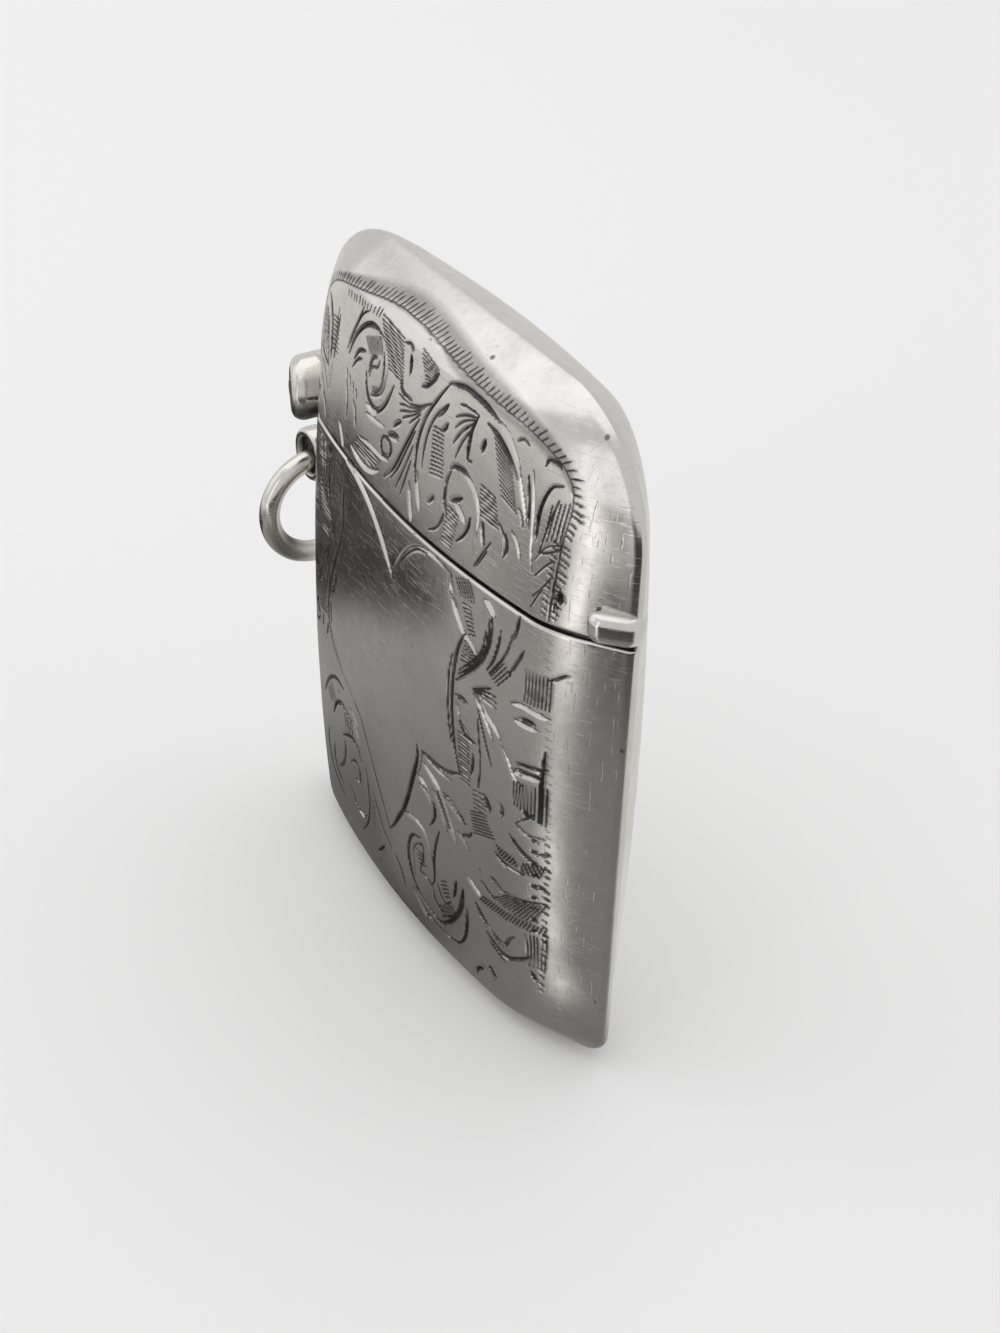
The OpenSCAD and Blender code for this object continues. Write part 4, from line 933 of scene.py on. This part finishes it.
def silver(name, look, readsTarnishAndShade=False, tone=1.0, scratch=1.0):  # worn silver with clouds, pits, scratches and stain
    mat, tree, shader = newMaterial(name)
    coords = node(tree, "ShaderNodeTexCoord").outputs["Object"]
    noise = {key: noiseAt(tree, coords, *settings) for key, settings in silverNoise.items()}

    def ranged(value, key):
        return mapRange(tree, value, *silverRange[key])

    clean, dull = (tuple(c * tone for c in look[key]) + (1,) for key in ("clean", "dull"))
    metal = node(tree, "ShaderNodeMix", {0: ranged(noise["cloud"], "dullCloud"), 6: clean, 7: dull}, data_type="RGBA")
    pits = node(tree, "ShaderNodeTexVoronoi", {"Vector": coords, "Scale": look["pitScale"]}).outputs["Distance"]
    pitMask = math2(tree, "MULTIPLY", ranged(pits, "pitSize"), ranged(noise["pick"], "pitPlace"))
    dark = math2(tree, "MAXIMUM", ranged(pitMask, "pitDark"), ranged(noise["patchy"], "smudge"))
    dark = math2(tree, "MAXIMUM", dark, ranged(noise["fine"], "speck"))
    # the attribute holds tarnish in the cuts, and painted shade on the hinge, lug, ring, the lid's soft bands and the
    # seam
    if readsTarnishAndShade:
        tarnishAndShade = node(tree, "ShaderNodeAttribute", attribute_name="tarnishAndShade").outputs["Fac"]
        tarnishAndShadeDark = math2(tree, "MULTIPLY", ranged(tarnishAndShade, "tarnishAndShadeCore"), ranged(noise["patchy"], "tarnishAndShadeWear"))
        dark = math2(tree, "MAXIMUM", dark, tarnishAndShadeDark)
    oxide = look["oxide"] + (1,)
    colour = node(tree, "ShaderNodeMix", {0: dark, 6: metal.outputs[2], 7: oxide}, data_type="RGBA").outputs[2]
    cloudRough = mapRange(tree, noise["cloud"], *look["roughCloud"], look["roughLow"], look["roughHigh"])
    rough = math2(tree, "ADD", cloudRough, ranged(noise["fine"], "fineRough"))
    rough = math2(tree, "ADD", rough, ranged(dark, "darkRough"))
    scuff = math2(tree, "MAXIMUM", ranged(noise["lineA"], "scratchA"), ranged(noise["lineB"], "scratchB"))
    scuff = mapRange(tree, scuff, 0.0, 1.0, 0.0, look["scuffDepth"] * scratch)
    height = math2(tree, "SUBTRACT", ranged(noise["fine"], "fineHeight"), scuff)
    finishMetal(tree, shader, colour, rough, math2(tree, "SUBTRACT", height, pitMask), look["relief"])
    return mat


steelLook = dict(
    base=(0.42, 0.42, 0.43), blue=(0.20, 0.21, 0.25), blueCloud=(0.4, 0.7, 0.0, 1.0), rough=0.28, roughMore=0.15,
    roughLines=(0.3, 0.7), relief=0.25, cloud=(260.0, 3.0, 0.6), lines=(900.0, 2.0, 0.5, (8, 8, 0.6)))


def steel(name, look):  # drawn spring steel, blued a little in patches
    mat, tree, shader = newMaterial(name)
    coords = node(tree, "ShaderNodeTexCoord").outputs["Object"]
    cloud, lines = (noiseAt(tree, coords, *look[key]) for key in ("cloud", "lines"))
    blued = mapRange(tree, cloud, *look["blueCloud"])
    mix = node(tree, "ShaderNodeMix", {0: blued, 6: look["base"] + (1,), 7: look["blue"] + (1,)}, data_type="RGBA")
    rough = mapRange(tree, lines, *look["roughLines"], look["rough"], look["rough"] + look["roughMore"])
    finishMetal(tree, shader, mix.outputs[2], rough, lines, look["relief"])
    return mat


# worn silver also reads the attribute, which on the hinge, lug and ring is painted shade
wornLook = dict(silverLook, clean=(0.74, 0.71, 0.67), dull=(0.3, 0.28, 0.25), roughLow=0.13, roughHigh=0.27)
engravedSilver = silver("engravedSilver", silverLook, readsTarnishAndShade=True)
plainSilver = silver("plainSilver", silverLook)
brightSilver = silver("brightSilver", silverLook, tone=1.04, scratch=0.7)
wornSilver = silver("wornSilver", wornLook, readsTarnishAndShade=True)
innerSilver = silver("innerSilver", silverLook, tone=0.9)
springSteel = steel("springSteel", steelLook)

dressing = [
    (bodyFront, "body_front", "case", "engraved_silver", engravedSilver),
    (bodyBack, "body_back", "case", "plain_silver", plainSilver),
    (lidFront, "lid_front", "lid", "engraved_silver", engravedSilver),
    (lidBack, "lid_back", "lid", "plain_silver", plainSilver),
    (hingeKnuckleFront, "hinge_knuckle_front", "case", "plain_silver", wornSilver),
    (hingeKnuckleBack, "hinge_knuckle_back", "case", "plain_silver", wornSilver),
    (lidKnuckle, "lid_knuckle", "lid", "plain_silver", wornSilver),
    (thumbPiece, "thumb_piece", "lid", "plain_silver", brightSilver),
    (ringLug, "ring_lug", "case", "plain_silver", wornSilver),
    (suspensionRing, "suspension_ring", "ring", "plain_silver", wornSilver),
    (mouthBezel, "mouth_bezel", "case", "inner_silver", innerSilver)]
for piece, cadNode, body, slotName, material in dressing:
    piece.data.materials.append(material)
    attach(piece, body)
    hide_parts(cadNode)

keptNodes = dict(
    striker_plate=innerSilver, hinge_pin=springSteel, hinge_plug_front=wornSilver, hinge_plug_back=wornSilver,
    lid_spring=springSteel, spring_block=innerSilver, spring_rivet=springSteel)
for cadNode, material in keptNodes.items():
    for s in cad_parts[cadNode].material_slots:
        s.material = material
print("materials set")


# Camera, at the photograph's viewing angle

shot = dict(
    azimuth=58.398, elevation=31.148, roll=2.312, distance=136.349, aimAcross=1.946, aimUp=-9.649,
    middle=(0.0, 0.0, 31.8), focalPixels=2279.35, longSide=1333.0, sensor=36.0, clip=(0.005, 20.0))


def unit(v):
    return v / np.linalg.norm(v)


def direction(azimuth, elevation):  # of a place seen from the case; the azimuth is from the front
    return np.array([math.sin(azimuth) * math.cos(elevation), -math.cos(azimuth) * math.cos(elevation),
                     math.sin(elevation)])


def putIn(name, data, across, up, away, place):  # an object into the scene by its axes and its place in millimetres
    thing = bpy.data.objects.new(name, data)
    bpy.context.scene.collection.objects.link(thing)
    turn = np.eye(4)
    turn[:3] = np.stack([across, up, away, place * mm], -1)
    thing.matrix_world = Matrix(turn.tolist())
    return thing


def makeCamera():
    s = shot
    az, el, roll = (math.radians(s[k]) for k in ("azimuth", "elevation", "roll"))
    back = direction(az, el)
    right = np.array([math.cos(az), math.sin(az), 0.0])
    middle = np.array(s["middle"])
    place = middle + back * s["distance"]
    aim = middle + right * s["aimAcross"] + np.cross(back, right) * s["aimUp"]
    away = unit(place - aim)
    across = unit(np.cross([0, 0, 1.0], away))
    up = np.cross(away, across)
    camX = math.cos(roll) * across + math.sin(roll) * up
    camY = -math.sin(roll) * across + math.cos(roll) * up
    data = bpy.data.cameras.new("photoCamera")
    data.sensor_width = s["sensor"]
    data.lens = s["focalPixels"] * s["sensor"] / s["longSide"]
    data.clip_start, data.clip_end = s["clip"]
    bpy.context.scene.camera = putIn("photoCamera", data, camX, camY, away, place)


makeCamera()


# Stage and light

stageLook = dict(
    floorColour=(0.9, 0.9, 0.9), floorRough=0.9, floorShine=0.1, floorRings=(0.0, 0.05, 0.2, 0.8, 2.5), floorColumns=64,
    floorDrop=0.01, worldTone=0.74, lampAim=(0, 0, 25))


def makeFloor():  # a wide disc at the case's base
    k = stageLook
    rings = np.array(k["floorRings"]) / mm
    a = circle(k["floorColumns"])
    low = 0 * rings[:, None] * a - k["floorDrop"]
    pts = np.stack([rings[:, None] * np.cos(a), rings[:, None] * np.sin(a), low], -1)
    floor = makePiece("floor", pts.reshape(-1, 3), quadIndex(len(rings), len(a), False, True))
    mat, tree, shader = newMaterial("palePaper")
    shader.inputs["Base Color"].default_value = k["floorColour"] + (1,)
    shader.inputs["Roughness"].default_value = k["floorRough"]
    shader.inputs["Specular IOR Level"].default_value = k["floorShine"]
    floor.data.materials.append(mat)


# the card's glow paints the reflections in the silver: each tone is a brightness of that glow
reflectionCardLook = dict(  # millimetres and degrees; a pair is where a change starts and ends, a list is (where, tone)
    middleY=-4, near=(0.1, 120, 64), far=(126, 420.0, 14), columns=241, height=0.2, colour=(1.0, 0.975, 0.945),
    ring=[(0, 0.08), (3, 0.15), (6, 0.2), (14, 0.23), (24, 0.29), (34, 0.36), (62, 0.38), (80, 0.46), (103, 0.78),
          (130, 0.8)],
    dark=0.04, darkRight=-41.5, darkSoft=4.5, darkLeft=(-112, -92), darkFrom=(37, 43), darkTo=60.0, darkEnd=(8, -4),
    rightLean=0.3, rightLeanFrom=46.0, rightLeanOver=14, endLean=1.1, endLeanFrom=-57, endLeanOver=17,
    lowLeft=0.62, lowLeftTurn=(-64, -82), lowLeftReach=(28, 15),
    dip=0.62, dipTurn=(-46, -34), dipFrom=(50, 60), dipTo=(110, 84),
    right=[(30, 0.22), (50, 0.05)], rightTurn=(9, 15),
    gapX=14.8, gapY=-2.6, gapWide=6.5, gapLeft=1.5, gapRight=[(40, 0.8), (54, 0.27)],
    gapAt=[(8, 3), (16, 8), (34, 14.5), (44, 15), (60, 14.5), (70, 14), (110, 14.5)],
    gapTone=[(5, 0.95), (8, 1.1), (16, 1.15), (28, 0.6), (36, 0.78), (52, 1.5), (66, 1.9)],
    back=0.72, backFrom=(-2, 8), spot=0.06, spotAt=(-70, 14), spotSize=(30, 16))


def smoothStep(a, b, v):  # 0 at a, 1 at b, level at both
    t = np.clip((v - a) / (b - a), 0, 1)
    return t * t * (3 - 2 * t)


def blend(tone, other, share):
    return tone + (other - tone) * share


def makePaintedReflectionCard():  # a glowing grey card that lies round the case and is seen in the silver alone: its tones are painted reflections
    m = reflectionCardLook

    def listed(key, where):
        return np.interp(where, *np.array(m[key]).T)

    r = np.concatenate([np.linspace(*m["near"]), np.geomspace(*m["far"])])
    rr, aa = np.meshgrid(r, np.radians(np.linspace(-180, 180, m["columns"])), indexing="ij")
    deg = np.degrees(aa)
    x, y = rr * np.sin(aa), m["middleY"] - rr * np.cos(aa)
    tone = listed("ring", rr)
    # a dark patch on the left, painted shade seen in the silver, whose right side and far end lean
    end = m["darkTo"] + m["endLean"] * np.clip(m["endLeanFrom"] - deg, 0, m["endLeanOver"])
    edge = m["darkRight"] - m["rightLean"] * np.clip(rr - m["rightLeanFrom"], 0, m["rightLeanOver"])
    patch = smoothStep(edge, edge - m["darkSoft"], deg) * smoothStep(*m["darkLeft"], deg)
    reach = smoothStep(*m["darkFrom"], rr) * smoothStep(end + m["darkEnd"][0], end + m["darkEnd"][1], rr)
    tone = blend(tone, m["dark"], patch * reach)
    tone = blend(tone, tone * m["lowLeft"], smoothStep(*m["lowLeftTurn"], deg) * smoothStep(*m["lowLeftReach"], rr))
    turn = np.degrees(np.arctan2(x - m["gapX"], m["gapY"] - y))  # azimuth as seen from the right-hand crease
    away = np.hypot(x - m["gapX"], y - m["gapY"])
    dip = smoothStep(*m["dipTurn"], turn) * smoothStep(*m["dipFrom"], away) * smoothStep(*m["dipTo"], away)
    tone = blend(tone, tone * m["dip"], dip)
    tone = blend(tone, listed("right", away), smoothStep(*m["rightTurn"], turn))
    # a painted highlight: a bright streak seen along the right-hand crease, that fades more slowly towards the field
    gapAt = listed("gapAt", away)
    slope = np.where(turn < gapAt, m["gapLeft"], listed("gapRight", away)) * m["gapWide"]
    tone = blend(tone, listed("gapTone", away), np.exp(-((turn - gapAt) / slope) ** 2))
    tone = blend(tone, m["back"], smoothStep(*m["backFrom"], y))
    spot = np.hypot(x - m["spotAt"][0], y - m["spotAt"][1])  # a dark spot, a painted reflection for the end of the barrel
    tone = blend(tone, m["spot"], smoothStep(*m["spotSize"], spot))
    pts = np.stack([x, y, 0 * rr + m["height"]], -1)
    card = makePiece("paintedReflectionCard", pts.reshape(-1, 3), quadIndex(*rr.shape), None, 60.0, dict(tone=tone))
    mat, tree, glow = newMaterial("paintedReflectionGlow", "ShaderNodeEmission")
    attribute = node(tree, "ShaderNodeAttribute", attribute_name="tone")
    tree.links.new(attribute.outputs["Fac"], glow.inputs["Strength"])
    glow.inputs["Color"].default_value = m["colour"] + (1,)
    card.data.materials.append(mat)
    card.visible_camera = card.visible_diffuse = card.visible_shadow = False
    card.visible_transmission = card.visible_volume_scatter = False


lamps = [  # name, direction as azimuth from the front and height, distance, width, depth, brightness
    ("windowLight", -48, 23, 360, 330, 230, 0.32),
    ("frontLight", 17, 15, 380, 60, 290, 0.85),
    ("topLight", -90, 74, 420, 560, 560, 0.55)]


def makeLights():
    for name, az, el, far, wide, deep, level in lamps:
        way = direction(math.radians(az), math.radians(el))
        data = bpy.data.lights.new(name, "AREA")
        data.shape = "RECTANGLE"
        data.size, data.size_y = wide * mm, deep * mm
        data.energy = level * math.pi * wide * deep * mm * mm
        across = unit(np.cross([0, 0, 1.0], way))
        putIn(name, data, across, np.cross(way, across), way, way * far + np.array(stageLook["lampAim"]))
    world = bpy.data.worlds.new("softRoom")
    world.use_nodes = True
    tone = stageLook["worldTone"]
    world.node_tree.nodes["Background"].inputs[0].default_value = (tone, tone, tone, 1)
    bpy.context.scene.world = world


makeFloor()
makePaintedReflectionCard()
makeLights()
bpy.context.scene.view_settings.view_transform = "Standard"
print("stage and lights set")
